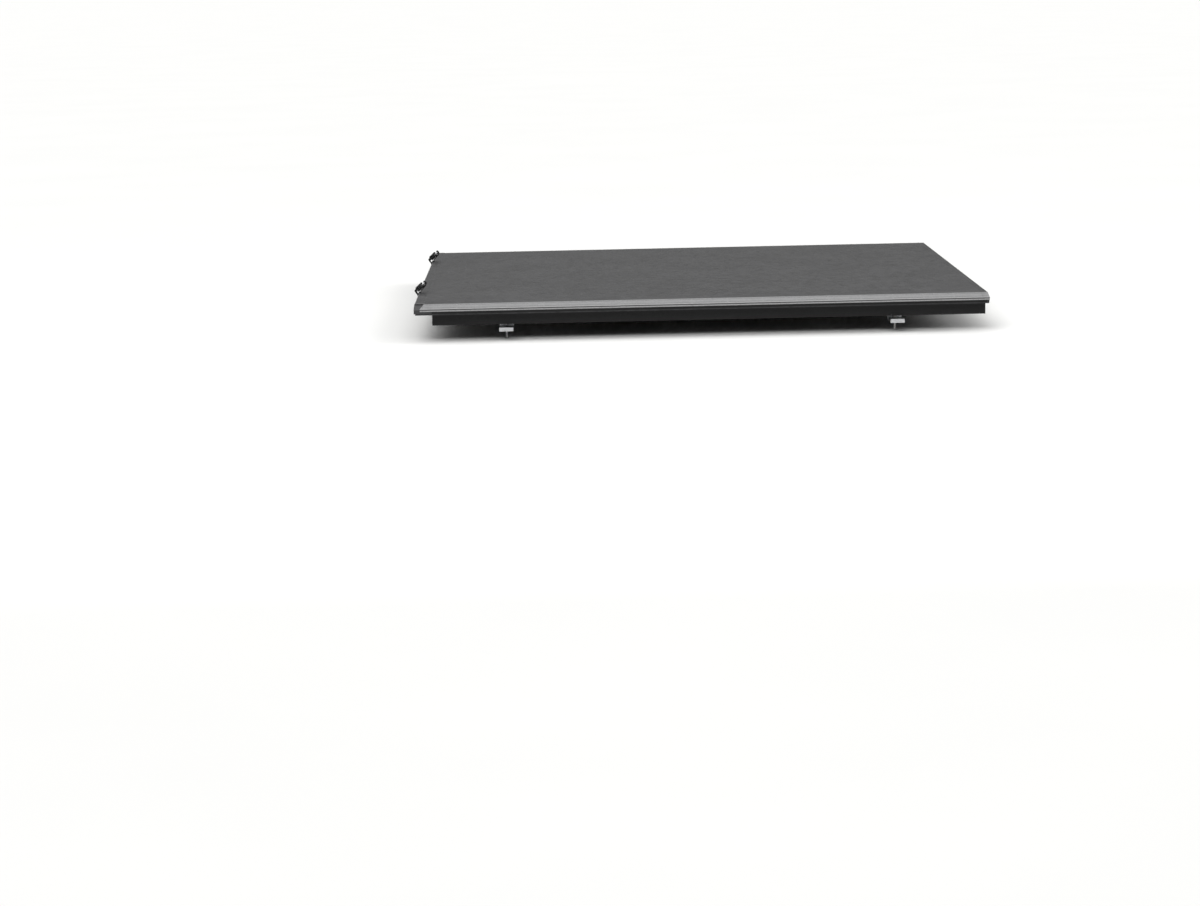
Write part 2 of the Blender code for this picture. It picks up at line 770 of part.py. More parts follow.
def latches():
    """Spring bolts in the rear bar's ends, each with a finger trigger, joined by a cable."""
    for side, word in SIDE_NAMES.items():
        axis = pivot(f"latch_{word}_axis", (LATCH_X, side * TRIGGER_U, LATCH_Z), rolls[-1])
        bolt = rod(
            f"latch_bolt_{word}",
            (LATCH_X, side * (TRIGGER_U - 0.005), LATCH_Z),
            (LATCH_X, side * (WEB_OUT + 0.0055), LATCH_Z),
            BOLT_RADIUS,
        )
        collar = rod(
            f"bolt_collar_{word}",
            (LATCH_X, side * COLLAR_U, LATCH_Z),
            (LATCH_X, side * (COLLAR_U + 0.003), LATCH_Z),
            0.0043,
        )
        boolean(bolt, collar, "UNION")
        paint(bolt, ZINC)
        hang(bolt, axis)

        trigger = box(
            f"trigger_{word}",
            (LATCH_X - 0.012, side * (TRIGGER_U - 0.005), -0.0008),
            (LATCH_X + 0.012, side * (TRIGGER_U + 0.005), REAR_BAR_LOW - 0.0005),
        )
        bevel(trigger, 0.0012)
        stem = box(
            f"trigger_stem_{word}",
            (LATCH_X - 0.0025, side * (TRIGGER_U - 0.003), REAR_BAR_LOW - 0.002),
            (LATCH_X + 0.0025, side * (TRIGGER_U + 0.003), LATCH_Z - BOLT_RADIUS - GAP),
        )
        boolean(trigger, stem, "UNION")
        paint(trigger, GLOSS_PLASTIC)
        hang(trigger, axis)


def latch_springs():
    turns = 7
    steps = 8
    start = CRADLE_U + 0.004 + 0.0008
    run = COLLAR_U - 0.0008 - start
    for side, word in SIDE_NAMES.items():
        curve = bpy.data.curves.new(f"latch_spring_{word}", "CURVE")
        curve.dimensions = "3D"
        curve.bevel_depth = 0.0003
        curve.bevel_resolution = 1
        curve.use_fill_caps = True
        spline = curve.splines.new("POLY")
        count = turns * steps + 1
        spline.points.add(count - 1)
        for index, point in enumerate(spline.points):
            turn = 2 * math.pi * index / steps
            x = LATCH_X + 0.0039 * math.cos(turn)
            z = LATCH_Z + 0.0039 * math.sin(turn)
            point.co = (x, side * (start + run * index / (count - 1)), z, 1.0)
        spring = as_mesh(link(f"latch_spring_{word}", curve))
        paint(spring, ZINC)
        hang(spring, rolls[-1])


def latch_cable():
    end = TRIGGER_U - 0.005 - GAP
    cable = rod("latch_cable", (LATCH_X, -end, LATCH_Z), (LATCH_X, end, LATCH_Z), 0.001, 8)
    paint(cable, ZINC)
    hang(cable, rolls[-1])


# ---------------------------------------------------------------- the whole cover
clear_scene()
parts = new_collection("tonneau_cover")
cutters = new_collection("cutters")
pivot_places = {}
lines = bending_lines()
rolls = [None]
for line_number, line_x in enumerate(lines, 1):
    last = line_number == len(lines)
    roll_name = "rear_bar_axis" if last else f"roll_{line_number:02d}_axis"
    rolls.append(pivot(roll_name, (line_x, 0, PIVOT_Z), rolls[-1]))

header_sheet()
rolling_sheets()
rear_sheet()
side_rails()
rail_end_caps()
hook_tapes()
bed_seal()
clamp_brackets()
clamp_bolts()
clamp_jaws()
header_rail()
header_caps()
tension_screws()
straps()
buckles()
bows()
rear_bar()
rear_caps()
latches()
latch_springs()
latch_cable()
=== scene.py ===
"""Looks of the soft roll-up tonneau cover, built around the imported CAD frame.

Metres, in the frame's own axes: +X towards the tailgate, -Y towards the driver's side, +Z up.
u is the distance from the middle plane, and side is -1 on the left and +1 on the right.
"""
import json
import math

import bmesh
import bpy
from mathutils import Matrix, Vector, noise
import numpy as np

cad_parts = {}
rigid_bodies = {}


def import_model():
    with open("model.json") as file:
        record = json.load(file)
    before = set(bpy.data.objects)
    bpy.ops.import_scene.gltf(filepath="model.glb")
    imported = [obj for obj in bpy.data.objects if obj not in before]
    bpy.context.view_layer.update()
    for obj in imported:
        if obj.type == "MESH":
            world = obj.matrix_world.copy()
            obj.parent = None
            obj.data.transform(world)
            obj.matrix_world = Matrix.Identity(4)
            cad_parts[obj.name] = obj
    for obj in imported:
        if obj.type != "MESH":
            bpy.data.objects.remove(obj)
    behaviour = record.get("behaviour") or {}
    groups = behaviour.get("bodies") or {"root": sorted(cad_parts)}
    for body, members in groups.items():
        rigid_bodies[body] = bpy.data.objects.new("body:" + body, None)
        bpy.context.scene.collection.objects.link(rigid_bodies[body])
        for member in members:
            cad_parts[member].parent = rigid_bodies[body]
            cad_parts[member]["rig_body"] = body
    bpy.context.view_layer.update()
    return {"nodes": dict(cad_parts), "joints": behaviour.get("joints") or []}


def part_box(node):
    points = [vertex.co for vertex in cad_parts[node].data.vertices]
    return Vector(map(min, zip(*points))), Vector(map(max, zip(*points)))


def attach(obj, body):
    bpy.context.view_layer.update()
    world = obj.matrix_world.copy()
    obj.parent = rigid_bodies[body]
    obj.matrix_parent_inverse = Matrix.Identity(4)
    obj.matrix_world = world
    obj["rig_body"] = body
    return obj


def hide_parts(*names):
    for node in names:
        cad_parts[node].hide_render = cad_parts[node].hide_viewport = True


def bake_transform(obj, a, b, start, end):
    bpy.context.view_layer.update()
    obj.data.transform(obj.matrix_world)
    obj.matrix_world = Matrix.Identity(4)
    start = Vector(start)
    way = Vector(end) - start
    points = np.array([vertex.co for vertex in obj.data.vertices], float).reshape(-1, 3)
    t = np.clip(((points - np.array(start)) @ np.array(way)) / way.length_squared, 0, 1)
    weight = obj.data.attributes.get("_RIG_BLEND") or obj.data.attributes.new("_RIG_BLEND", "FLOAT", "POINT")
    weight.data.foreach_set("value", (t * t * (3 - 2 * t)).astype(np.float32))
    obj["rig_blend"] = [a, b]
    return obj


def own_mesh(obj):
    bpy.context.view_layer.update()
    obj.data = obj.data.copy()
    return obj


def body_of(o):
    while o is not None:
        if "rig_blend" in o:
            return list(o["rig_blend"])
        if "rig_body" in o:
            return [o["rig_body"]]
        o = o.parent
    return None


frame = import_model()
nodes = frame["nodes"]

# ---------------------------------------------------------------- places read from the frame
SIDES = {"left": -1, "right": 1}
FLAT_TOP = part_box("cover_sheet_01")[1].z
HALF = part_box("cover_sheet_01")[1].y
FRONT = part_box("cover_sheet_00")[0].x
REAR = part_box("cover_sheet_rear")[1].x
FLOOR_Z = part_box("clamp_bolt_1")[0].z - 0.0015
BEND_JOINTS = [joint for joint in frame["joints"] if joint["name"].endswith("_bend")]
LINES = [joint["pos_m"][0] for joint in BEND_JOINTS]
BODIES = ["frame"] + [joint["child"] for joint in BEND_JOINTS]
BOW_BODIES = [body_of(nodes[f"bow_{number}"])[0] for number in (1, 2, 3)]

# ---------------------------------------------------------------- shape of the skin
FOLD = 0.680  # half width of the flat middle
FLAP_START = -0.793  # the flaps begin here at the fold
FLAP_MITRE = 0.0115  # and this much further forward at the hem
FLAP = 5  # material number of the flaps' outer face, painted paler as a painted highlight
PAINTED_HIGHLIGHT = 6  # of the edges painted pale as a painted highlight
SHADED_GROOVE = 7  # and of the groove pressed above the hem's bead, painted dark as painted shade
FLAP_SLOPE = 0.011 / 0.042
SKIN = 0.0020
LIP_FRONT_LOW = 0.0105  # lower edges of the skin turned down over the header and the rear bar
LIP_REAR_LOW = 0.0125
LIP_FRONT_HALF = 0.652
LIP_REAR_HALF = 0.6815
TURN = 0.0032  # outer radius of those turns
HEM_OUT = 0.7242  # outer face of the hem, above its bead
HEM_LOW = 0.0098
LOOP_TAPE = (0.6905, 0.7155)
STITCH_PITCH = 0.0046
STITCH_LENGTH = 0.0034
FIRST_CUT = -0.700  # the front piece ends here, on the fixed strip
FRONT_ROW = -0.7975  # rows of thread across the cover, which close the front and rear hems
REAR_ROW = 0.803
BOW_MARGIN = 0.022  # a strip stays rigid this far from its middle where a bow is fixed under it
MARGIN = 0.004  # and where none is
REAR_BAR_EDGE = 0.771  # the skin is rigid from here back
CREASES = ((0.130, 0.270), (-0.090, 0.030))  # y of each pulled crease at its front and rear end
CREASE_START = -0.8165
CREASE_RUN = 0.026
CREASE_WIDE = 0.011
CREASE_HIGH = 0.0012
CREASE_SECTIONS = (CREASE_START, -0.8135, -0.8105, -0.8075, -0.8045, -0.8010, -0.7970)
PAINTED_HIGHLIGHT_LEAN = (0.35, 1.2)  # the turned edge is painted pale, as a painted highlight, where it leans between these angles
PLUG_START = 0.640  # half length of a bow between its end plugs


def lerp(a, b, t):
    return a + (b - a) * t


def curve3(a, b, c, steps, last=True):
    """Points of a quadratic curve from a to c, drawn towards b."""
    points = []
    for index in range(steps + (1 if last else 0)):
        t = index / steps
        points.append(tuple(lerp(lerp(p, q, t), lerp(q, r, t), t) for p, q, r in zip(a, b, c)))
    return points


def clamped(value):
    return max(0.0, min(1.0, value))


def rectangle(a0, a1, b0, b1):
    return [(a0, b0), (a1, b0), (a1, b1), (a0, b1)]


def linked(name, data):
    """A new object in the scene that holds the data."""
    obj = bpy.data.objects.new(name, data)
    bpy.context.scene.collection.objects.link(obj)
    return obj


# ---------------------------------------------------------------- mesh building
class Shape:
    """A mesh in the making: points, faces, a material number and texture places for each face."""

    def __init__(self):
        self.points = []
        self.faces = []
        self.finish = []
        self.places = []

    def point(self, x, y, z):
        self.points.append((x, y, z))
        return len(self.points) - 1

    def face(self, corners, finish=0, places=None):
        self.faces.append(tuple(corners))
        self.finish.append(finish)
        self.places.append(places or [(self.points[c][0], self.points[c][1]) for c in corners])

    def object(self, name, materials, sharp=40.0, smooth=True):
        mesh = bpy.data.meshes.new(name)
        mesh.from_pydata(self.points, [], self.faces)
        for material in materials:
            mesh.materials.append(material)
        mesh.polygons.foreach_set("material_index", self.finish)
        layer = mesh.uv_layers.new(name="UVMap")
        flat = [value for places in self.places for place in places for value in place]
        layer.data.foreach_set("uv", flat)
        mesh.validate()
        if smooth:
            mesh.shade_smooth()
            mesh.set_sharp_from_angle(angle=math.radians(sharp))
        return linked(name, mesh)


def circle(middle, side, up, radius, count):
    """Points round a middle, in the plane of two unit vectors."""
    turns = [2 * math.pi * k / count for k in range(count)]
    return [middle + (side * math.cos(t) + up * math.sin(t)) * radius for t in turns]


def sweep(shape, rings, finish=0, caps=True, places=None):
    """Join closed rings of equal length, with a cap on the first and the last."""
    first = len(shape.points)
    count = len(rings[0])
    for points in rings:
        shape.points.extend(tuple(point) for point in points)
    for row in range(len(rings) - 1):
        for column in range(count):
            square = [(row + down, column + along) for down, along in ((0, 0), (0, 1), (1, 1), (1, 0))]
            corners = [first + r * count + c % count for r, c in square]
            shape.face(corners, finish, [places(r, c) for r, c in square] if places else None)
    if caps:
        shape.face([first + c for c in reversed(range(count))], finish)
        last = first + (len(rings) - 1) * count
        shape.face([last + c for c in range(count)], finish)


def tidy(obj):
    """Weld, and turn every face outwards."""
    shape = bmesh.new()
    shape.from_mesh(obj.data)
    bmesh.ops.remove_doubles(shape, verts=shape.verts, dist=1e-7)
    bmesh.ops.recalc_face_normals(shape, faces=shape.faces)
    shape.to_mesh(obj.data)
    shape.free()
    return obj


# ---------------------------------------------------------------- materials
class Nodes:
    """Short names for the shader nodes that the finishes use."""

    def __init__(self, name, colour, roughness, metallic=0.0, **more):
        self.material = bpy.data.materials.new(name)
        self.material.use_nodes = True
        self.tree = self.material.node_tree
        self.shader = self.tree.nodes["Principled BSDF"]
        self.set(self.shader, "Base Color", (*colour, 1.0))
        self.set(self.shader, "Roughness", roughness)
        self.set(self.shader, "Metallic", metallic)
        for socket, value in more.items():
            self.set(self.shader, socket.replace("_", " "), value)
        self.material.diffuse_color = (*colour, 1.0)

    def set(self, node, socket, value):
        if isinstance(value, bpy.types.NodeSocket):
            self.tree.links.new(value, node.inputs[socket])
        else:
            node.inputs[socket].default_value = value

    def add(self, kind, output, settings=None, **inputs):
        node = self.tree.nodes.new(kind)
        for key, value in (settings or {}).items():
            setattr(node, key, value)
        for socket, value in inputs.items():
            numbered = socket[0] == "i" and socket[1:].isdigit()
            self.set(node, int(socket[1:]) if numbered else socket.replace("_", " "), value)
        return node.outputs[output]

    def place(self, uv=False, scale=(1, 1, 1), turn=(0, 0, 0)):
        source = self.add("ShaderNodeTexCoord", "UV" if uv else "Object")
        return self.add("ShaderNodeMapping", "Vector", Vector=source, Scale=scale, Rotation=turn)

    def noise(self, at, scale, detail=3.0, roughness=0.55, distortion=0.0):
        shape = {"Scale": scale, "Detail": detail, "Roughness": roughness, "Distortion": distortion}
        return self.add("ShaderNodeTexNoise", "Fac", Vector=at, **shape)

    def cells(self, at, scale, feature="F1", output="Distance"):
        settings = {"feature": feature}
        return self.add("ShaderNodeTexVoronoi", output, settings, Vector=at, Scale=scale)

    def waves(self, at, scale, direction, distortion):
        shape = {"Scale": scale, "Distortion": distortion, "Detail": 0.0}
        return self.add("ShaderNodeTexWave", "Fac", {"bands_direction": direction}, Vector=at, **shape)

    def spread(self, value, low, high, to_low=0.0, to_high=1.0):
        limits = {"From_Min": low, "From_Max": high, "To_Min": to_low, "To_Max": to_high}
        return self.add("ShaderNodeMapRange", "Result", Value=value, **limits)

    def sum(self, a, b, operation="ADD"):
        return self.add("ShaderNodeMath", 0, {"operation": operation}, i0=a, i1=b)

    def blend(self, factor, a, b, mode="MIX"):
        settings = {"data_type": "RGBA", "blend_type": mode}
        a, b = (c if isinstance(c, bpy.types.NodeSocket) else (*c, 1.0) for c in (a, b))
        return self.add("ShaderNodeMix", 2, settings, i0=factor, i6=a, i7=b)

    def bump(self, height, distance, strength=1.0, under=None):
        shape = {"Height": height, "Distance": distance, "Strength": strength}
        if under:
            shape["Normal"] = under
        return self.add("ShaderNodeBump", "Normal", **shape)

    def done(self, colour=None, roughness=None, normal=None):
        if colour:
            self.set(self.shader, "Base Color", colour)
        if roughness:
            self.set(self.shader, "Roughness", roughness)
        if normal:
            self.set(self.shader, "Normal", normal)
        return self.material


GRAIN = 520.0  # cells of the leather grain in a metre


def vinyl():
    """Leather-grain vinyl: fine cells and wrinkles over a slow mottling."""
    m = Nodes("leather_grain_vinyl", (0.046, 0.046, 0.048), 0.46, Specular_IOR_Level=0.42)
    at = m.place(uv=True)
    mottling = m.noise(at, 34.0, 3.0, 0.55, 0.5)
    blotches = m.noise(at, 5.0, 2.0, 0.5)
    grain = m.cells(m.place(uv=True, scale=(1.0, 1.25, 1.0)), GRAIN, "DISTANCE_TO_EDGE")
    wrinkles = m.noise(at, 260.0, 3.0, 0.6, 0.6)
    shade = m.spread(m.sum(mottling, m.sum(blotches, 0.3, "MULTIPLY")), 0.50, 0.80)
    colour = m.blend(shade, (0.027, 0.027, 0.0275), (0.062, 0.062, 0.0633))
    colour = m.blend(m.spread(grain, 0.0, 0.22, 0.35, 0.0), colour, (0.018, 0.018, 0.019))
    rough = m.spread(mottling, 0.3, 0.7, 0.40, 0.64)
    slow = m.bump(mottling, 0.0040, 0.9)
    wrinkled = m.bump(wrinkles, 0.00022, 0.5, slow)
    normal = m.bump(m.spread(grain, 0.0, 0.18), 0.00016, 0.65, wrinkled)
    return m.done(colour, rough, normal)


def painted_light_flap():
    """The same vinyl where it is pulled tight over the flap: smoother, with fine cross wrinkles, and painted
    paler as a painted highlight for the light its slope catches.
    """
    m = Nodes("painted_light_flap_skin", (0.20, 0.20, 0.203), 0.42, Specular_IOR_Level=0.5)
    at = m.place(uv=True, scale=(1.0, 0.16, 1.0))
    wrinkles = m.noise(at, 420.0, 3.0, 0.6, 0.2)
    broad = m.noise(m.place(uv=True), 30.0, 3.0)
    # painted highlight: the whole flap is coloured lighter than the top's vinyl, for the light its slope
    # catches
    colour = m.blend(m.spread(wrinkles, 0.3, 0.7), (0.150, 0.150, 0.152), (0.245, 0.245, 0.248))
    colour = m.blend(m.spread(broad, 0.3, 0.8, 0.0, 0.25), colour, (0.11, 0.11, 0.112))
    grain = m.cells(m.place(uv=True), GRAIN, "DISTANCE_TO_EDGE")
    normal = m.bump(m.spread(grain, 0.0, 0.18), 0.00012, 0.5, m.bump(wrinkles, 0.0003, 0.6))
    return m.done(colour, m.spread(wrinkles, 0.3, 0.7, 0.36, 0.48), normal)


def plain_vinyl(name, colour, rough):
    """Vinyl in one flat colour with a trace of its grain: it gives the pale painted highlight on the turned
    edges and the dark painted shade in the hem's groove.
    """
    m = Nodes(name, colour, rough)
    cloud = m.noise(m.place(uv=True), 90.0, 3.0)
    grain = m.cells(m.place(uv=True), GRAIN, "DISTANCE_TO_EDGE")
    dull = tuple(c * 0.72 for c in colour)
    return m.done(m.blend(m.spread(cloud, 0.35, 0.75), colour, dull), None, m.bump(grain, 0.0001, 0.3))


def backing():
    """Knitted scrim on the underside of the vinyl."""
    m = Nodes("knitted_backing", (0.055, 0.055, 0.058), 0.9)
    at = m.place(uv=True)
    warp = m.waves(at, 260.0, "X", 0.6)
    weft = m.waves(at, 190.0, "Y", 0.6)
    knit = m.sum(warp, weft, "MULTIPLY")
    fluff = m.noise(at, 60.0, 4.0)
    colour = m.blend(m.spread(fluff, 0.3, 0.7), (0.040, 0.040, 0.042), (0.075, 0.075, 0.079))
    colour = m.blend(m.spread(knit, 0.0, 0.5, 0.6, 0.0), colour, (0.018, 0.018, 0.019))
    return m.done(colour, None, m.bump(knit, 0.0003, 0.7))


def tape(name, scale):
    """Hook-and-loop tape: a dense field of small tufts."""
    m = Nodes(name, (0.014, 0.014, 0.015), 0.95, Sheen_Weight=0.35)
    at = m.place(uv=name.startswith("loop"))
    tufts = m.cells(at, scale)
    colour = m.blend(m.spread(tufts, 0.1, 0.7), (0.030, 0.030, 0.032), (0.006, 0.006, 0.006))
    return m.done(colour, None, m.bump(m.spread(tufts, 0.0, 0.8, 1.0, 0.0), 0.0007, 0.9))


def thread(name, colour):
    """Twisted polyester thread."""
    m = Nodes(name, colour, 0.62, Sheen_Weight=0.2)
    ply = m.waves(m.place(turn=(0, 0, 0.7)), 900.0, "X", 0.3)
    dark = tuple(c * 0.6 for c in colour)
    return m.done(m.blend(ply, dark, colour), None, m.bump(ply, 0.0001, 0.6))


def powder_coat():
    """Black powder coat over aluminium, with fine orange peel and faint rubbed streaks."""
    m = Nodes("black_powder_coat", (0.005, 0.005, 0.0055), 0.46, Specular_IOR_Level=0.25)
    at = m.place()
    peel = m.noise(at, 700.0, 2.0)
    dust = m.noise(m.place(scale=(0.25, 1, 1)), 38.0, 4.0, 0.65)
    colour = m.blend(m.spread(dust, 0.45, 0.75), (0.003, 0.003, 0.0033), (0.009, 0.009, 0.0095))
    rough = m.spread(dust, 0.3, 0.75, 0.38, 0.56)
    return m.done(colour, rough, m.bump(peel, 0.00012, 0.5))


def moulded(name, colour, rough):
    """Moulded plastic with a spark-eroded grain."""
    m = Nodes(name, colour, rough, Specular_IOR_Level=0.5)
    at = m.place()
    pits = m.noise(at, 420.0, 4.0, 0.7)
    wear = m.noise(at, 30.0, 4.0, 0.6)
    light = tuple(c * 1.7 for c in colour)
    tint = m.blend(m.spread(wear, 0.42, 0.8), colour, light)
    return m.done(tint, m.spread(wear, 0.3, 0.8, rough - 0.04, rough + 0.12), m.bump(pits, 0.00014, 0.6))


def gloss_plastic():
    """Polished acetal with hair scratches."""
    m = Nodes("glossy_acetal", (0.005, 0.005, 0.0055), 0.16, Specular_IOR_Level=0.4)
    scratches = m.noise(m.place(scale=(1, 9, 9)), 160.0, 5.0, 0.7)
    cloud = m.noise(m.place(), 70.0, 3.0)
    rough = m.spread(scratches, 0.35, 0.75, 0.12, 0.30)
    tint = m.blend(m.spread(cloud, 0.4, 0.8), (0.004, 0.004, 0.0045), (0.009, 0.009, 0.0095))
    return m.done(tint, rough, m.bump(scratches, 0.00003, 0.4))


def aluminium(name, colour, dull, die_lines, plugged=False):
    """Extruded aluminium with die lines along its length, and black plugs in the ends if plugged."""
    m = Nodes(name, colour, 0.36, 1.0)
    lines = m.noise(m.place(scale=die_lines), 900.0, 3.0, 0.6)
    stain = m.noise(m.place(), 24.0, 4.0, 0.6)
    tint = m.blend(m.spread(stain, 0.4, 0.8), colour, dull)
    if plugged:
        across = m.add("ShaderNodeSeparateXYZ", "Y", None, Vector=m.place())
        plug = m.spread(m.sum(across, 0.0, "ABSOLUTE"), PLUG_START - 0.0002, PLUG_START + 0.0002)
        tint = m.blend(plug, tint, (0.015, 0.015, 0.016))
        m.set(m.shader, "Metallic", m.spread(plug, 0.0, 1.0, 1.0, 0.0))
    return m.done(tint, m.spread(stain, 0.3, 0.8, 0.28, 0.50), m.bump(lines, 0.00008, 0.5))


def zinc():
    """Bright zinc plate with a faint crystal mottling."""
    m = Nodes("zinc_plate", (0.58, 0.59, 0.60), 0.30, 1.0)
    flakes = m.cells(m.place(), 420.0, "F1", "Color")
    grey = m.noise(m.place(), 110.0, 4.0)
    colour = m.blend(m.spread(grey, 0.35, 0.75), (0.62, 0.62, 0.60), (0.44, 0.45, 0.47))
    colour = m.blend(0.12, colour, flakes, "SOFT_LIGHT")
    return m.done(colour, m.spread(grey, 0.3, 0.8, 0.22, 0.42), m.bump(grey, 0.00005, 0.4))


def polished_steel():
    """Bright drawn steel wire."""
    m = Nodes("polished_wire", (0.74, 0.74, 0.75), 0.14, 1.0)
    marks = m.noise(m.place(), 240.0, 4.0, 0.7)
    tint = m.blend(m.spread(marks, 0.4, 0.8), (0.76, 0.76, 0.77), (0.58, 0.58, 0.60))
    return m.done(tint, m.spread(marks, 0.3, 0.8, 0.10, 0.26), m.bump(marks, 0.00003, 0.3))


def foam_rubber():
    """Closed-cell gasket foam with a skinned surface."""
    m = Nodes("gasket_foam", (0.028, 0.028, 0.030), 0.88)
    pores = m.cells(m.place(), 620.0)
    cloud = m.noise(m.place(), 40.0, 4.0)
    colour = m.blend(m.spread(cloud, 0.35, 0.75), (0.020, 0.020, 0.021), (0.040, 0.040, 0.042))
    return m.done(colour, None, m.bump(m.spread(pores, 0.0, 0.6), 0.0003, 0.6))


def webbing():
    """Plain-woven polyester webbing: ribs across the strap and ridges along it."""
    m = Nodes("woven_webbing", (0.010, 0.010, 0.0105), 0.66, Specular_IOR_Level=0.3)
    at = m.place(uv=True)
    along = m.waves(at, 190.0, "X", 0.25)
    across = m.waves(at, 150.0, "Y", 0.25)
    weave = m.sum(m.sum(along, 0.65, "MULTIPLY"), m.sum(across, 0.35, "MULTIPLY"))
    fuzz = m.noise(at, 900.0, 2.0)
    colour = m.blend(m.spread(weave, 0.2, 0.9), (0.004, 0.004, 0.0045), (0.017, 0.017, 0.018))
    return m.done(colour, None, m.bump(fuzz, 0.00008, 0.4, m.bump(weave, 0.0005, 0.9)))


def studio_floor():
    """Pale matt floor with a very slow cloud in it."""
    m = Nodes("pale_floor", (0.80, 0.80, 0.79), 1.0, Specular_IOR_Level=0.0)
    cloud = m.noise(m.place(), 1.3, 3.0)
    return m.done(m.blend(cloud, (0.79, 0.79, 0.78), (0.82, 0.82, 0.81)))


VINYL = vinyl()
PAINTED_LIGHT_FLAP = painted_light_flap()
# painted highlight: pale vinyl on the nose of the hem and on the turned front and rear edges
PAINTED_HIGHLIGHT_VINYL = plain_vinyl("painted_highlight_edge", (0.25, 0.25, 0.252), 0.32)
# painted shade: near-black vinyl in the groove above the hem's bead
PAINTED_SHADE_VINYL = plain_vinyl("painted_shade_groove", (0.016, 0.016, 0.0165), 0.60)
BACKING = backing()
LOOP = tape("loop_tape", 900.0)
HOOK = tape("hook_tape", 650.0)
PALE_THREAD = thread("grey_thread", (0.42, 0.42, 0.42))
DARK_THREAD = thread("black_thread", (0.020, 0.020, 0.021))
COAT = powder_coat()
NYLON = moulded("grained_nylon", (0.016, 0.016, 0.017), 0.48)
ACETAL = gloss_plastic()
BOW_ALLOY = aluminium("bow_alloy", (0.60, 0.61, 0.63), (0.43, 0.44, 0.46), (8.0, 0.3, 8.0), plugged=True)
CLAMP_ALLOY = aluminium("clamp_alloy", (0.56, 0.57, 0.58), (0.4032, 0.4104, 0.4176), (0.3, 8.0, 8.0))
ZINC = zinc()
STEEL = polished_steel()
FOAM = foam_rubber()
WEBBING = webbing()


# ---------------------------------------------------------------- camera, light and floor
CAMERA_AT = Vector((-0.38334, -8.26552, 0.9803))
CAMERA_PITCH = 0.18216  # radians below level
CAMERA_ROLL = -0.02047
CAMERA_YAW = -0.01112  # from looking along +Y
CAMERA_LENS = 79.947  # on a 36 mm wide sensor


def make_camera():
    data = bpy.data.cameras.new("camera")
    data.lens = CAMERA_LENS
    data.sensor_width = 36.0
    data.sensor_fit = "HORIZONTAL"
    data.clip_end = 400.0
    camera = linked("camera", data)
    turned_down = Matrix.Rotation(CAMERA_YAW, 4, "Z") @ Matrix.Rotation(math.pi / 2 - CAMERA_PITCH, 4, "X")
    camera.matrix_world = Matrix.Translation(CAMERA_AT) @ turned_down @ Matrix.Rotation(CAMERA_ROLL, 4, "Z")
    bpy.context.scene.camera = camera


SKY_LOW = 0.04  # brightness of the dome at the horizon
SKY_HIGH = 1.05  # and overhead
FLOOR_REACH = 400.0
BACK_HEIGHT = math.radians(38)
BACK_POWER = 0.12  # brightness of each sun, and its width in degrees
BACK_WIDTH = 30.0
FRONT_POWER = 1.4
FRONT_WIDTH = 50.0
SIDE_POWER = 0.9
SIDE_WIDTH = 30.0
NEAR_POWER = 30.0
NEAR_SIZE = (3.2, 0.9)
NEAR_AT = (0.0, -2.9, 1.5)
NEAR_AIM = (0.0, -0.5, 0.0)


def sun_light(name, towards, strength, width):
    """A distant soft light that shines along towards; width is its apparent size in degrees."""
    data = bpy.data.lights.new(name, "SUN")
    data.energy = strength
    data.angle = math.radians(width)
    lamp = linked(name, data)
    lamp.rotation_euler = Vector(towards).to_track_quat("-Z", "Y").to_euler()


def near_light():
    """A softbox above the near edge, which falls off across the cover."""
    data = bpy.data.lights.new("near_softbox", "AREA")
    data.shape = "RECTANGLE"
    data.size, data.size_y = NEAR_SIZE
    data.energy = NEAR_POWER
    lamp = linked("near_softbox", data)
    lamp.location = NEAR_AT
    lamp.rotation_euler = (Vector(NEAR_AIM) - lamp.location).to_track_quat("-Z", "Y").to_euler()


def make_sky():
    """A plain dome, dim at the horizon and bright overhead."""
    world = bpy.data.worlds.new("studio")
    world.use_nodes = True
    tree = world.node_tree
    background = tree.nodes["Background"]
    source = tree.nodes.new("ShaderNodeTexCoord")
    parts = tree.nodes.new("ShaderNodeSeparateXYZ")
    ramp = tree.nodes.new("ShaderNodeValToRGB")
    stops = ((0.10, SKY_LOW, SKY_LOW * 1.02), (0.95, SKY_HIGH, SKY_HIGH))
    for stop, (position, grey, blue) in zip(ramp.color_ramp.elements, stops):
        stop.position = position
        stop.color = (grey, grey, blue, 1.0)
    tree.links.new(source.outputs["Generated"], parts.inputs[0])
    tree.links.new(parts.outputs["Z"], ramp.inputs["Fac"])
    tree.links.new(ramp.outputs["Color"], background.inputs["Color"])
    background.inputs["Strength"].default_value = 1.0
    bpy.context.scene.world = world


def make_studio():
    shape = Shape()
    corners = rectangle(-FLOOR_REACH, FLOOR_REACH, -FLOOR_REACH, FLOOR_REACH)
    shape.face([shape.point(x, y, FLOOR_Z) for x, y in corners])
    floor = shape.object("floor", [studio_floor()], smooth=False)
    sun_light("back_light", (0.0, -math.cos(BACK_HEIGHT), -math.sin(BACK_HEIGHT)), BACK_POWER, BACK_WIDTH)
    sun_light("front_light", (0.45, 0.55, -0.9), FRONT_POWER, FRONT_WIDTH)
    sun_light("side_light", (-0.85, 0.10, -0.55), SIDE_POWER, SIDE_WIDTH)
    near_light()
    make_sky()
    bpy.context.scene.view_settings.view_transform = "Standard"


make_camera()
make_studio()


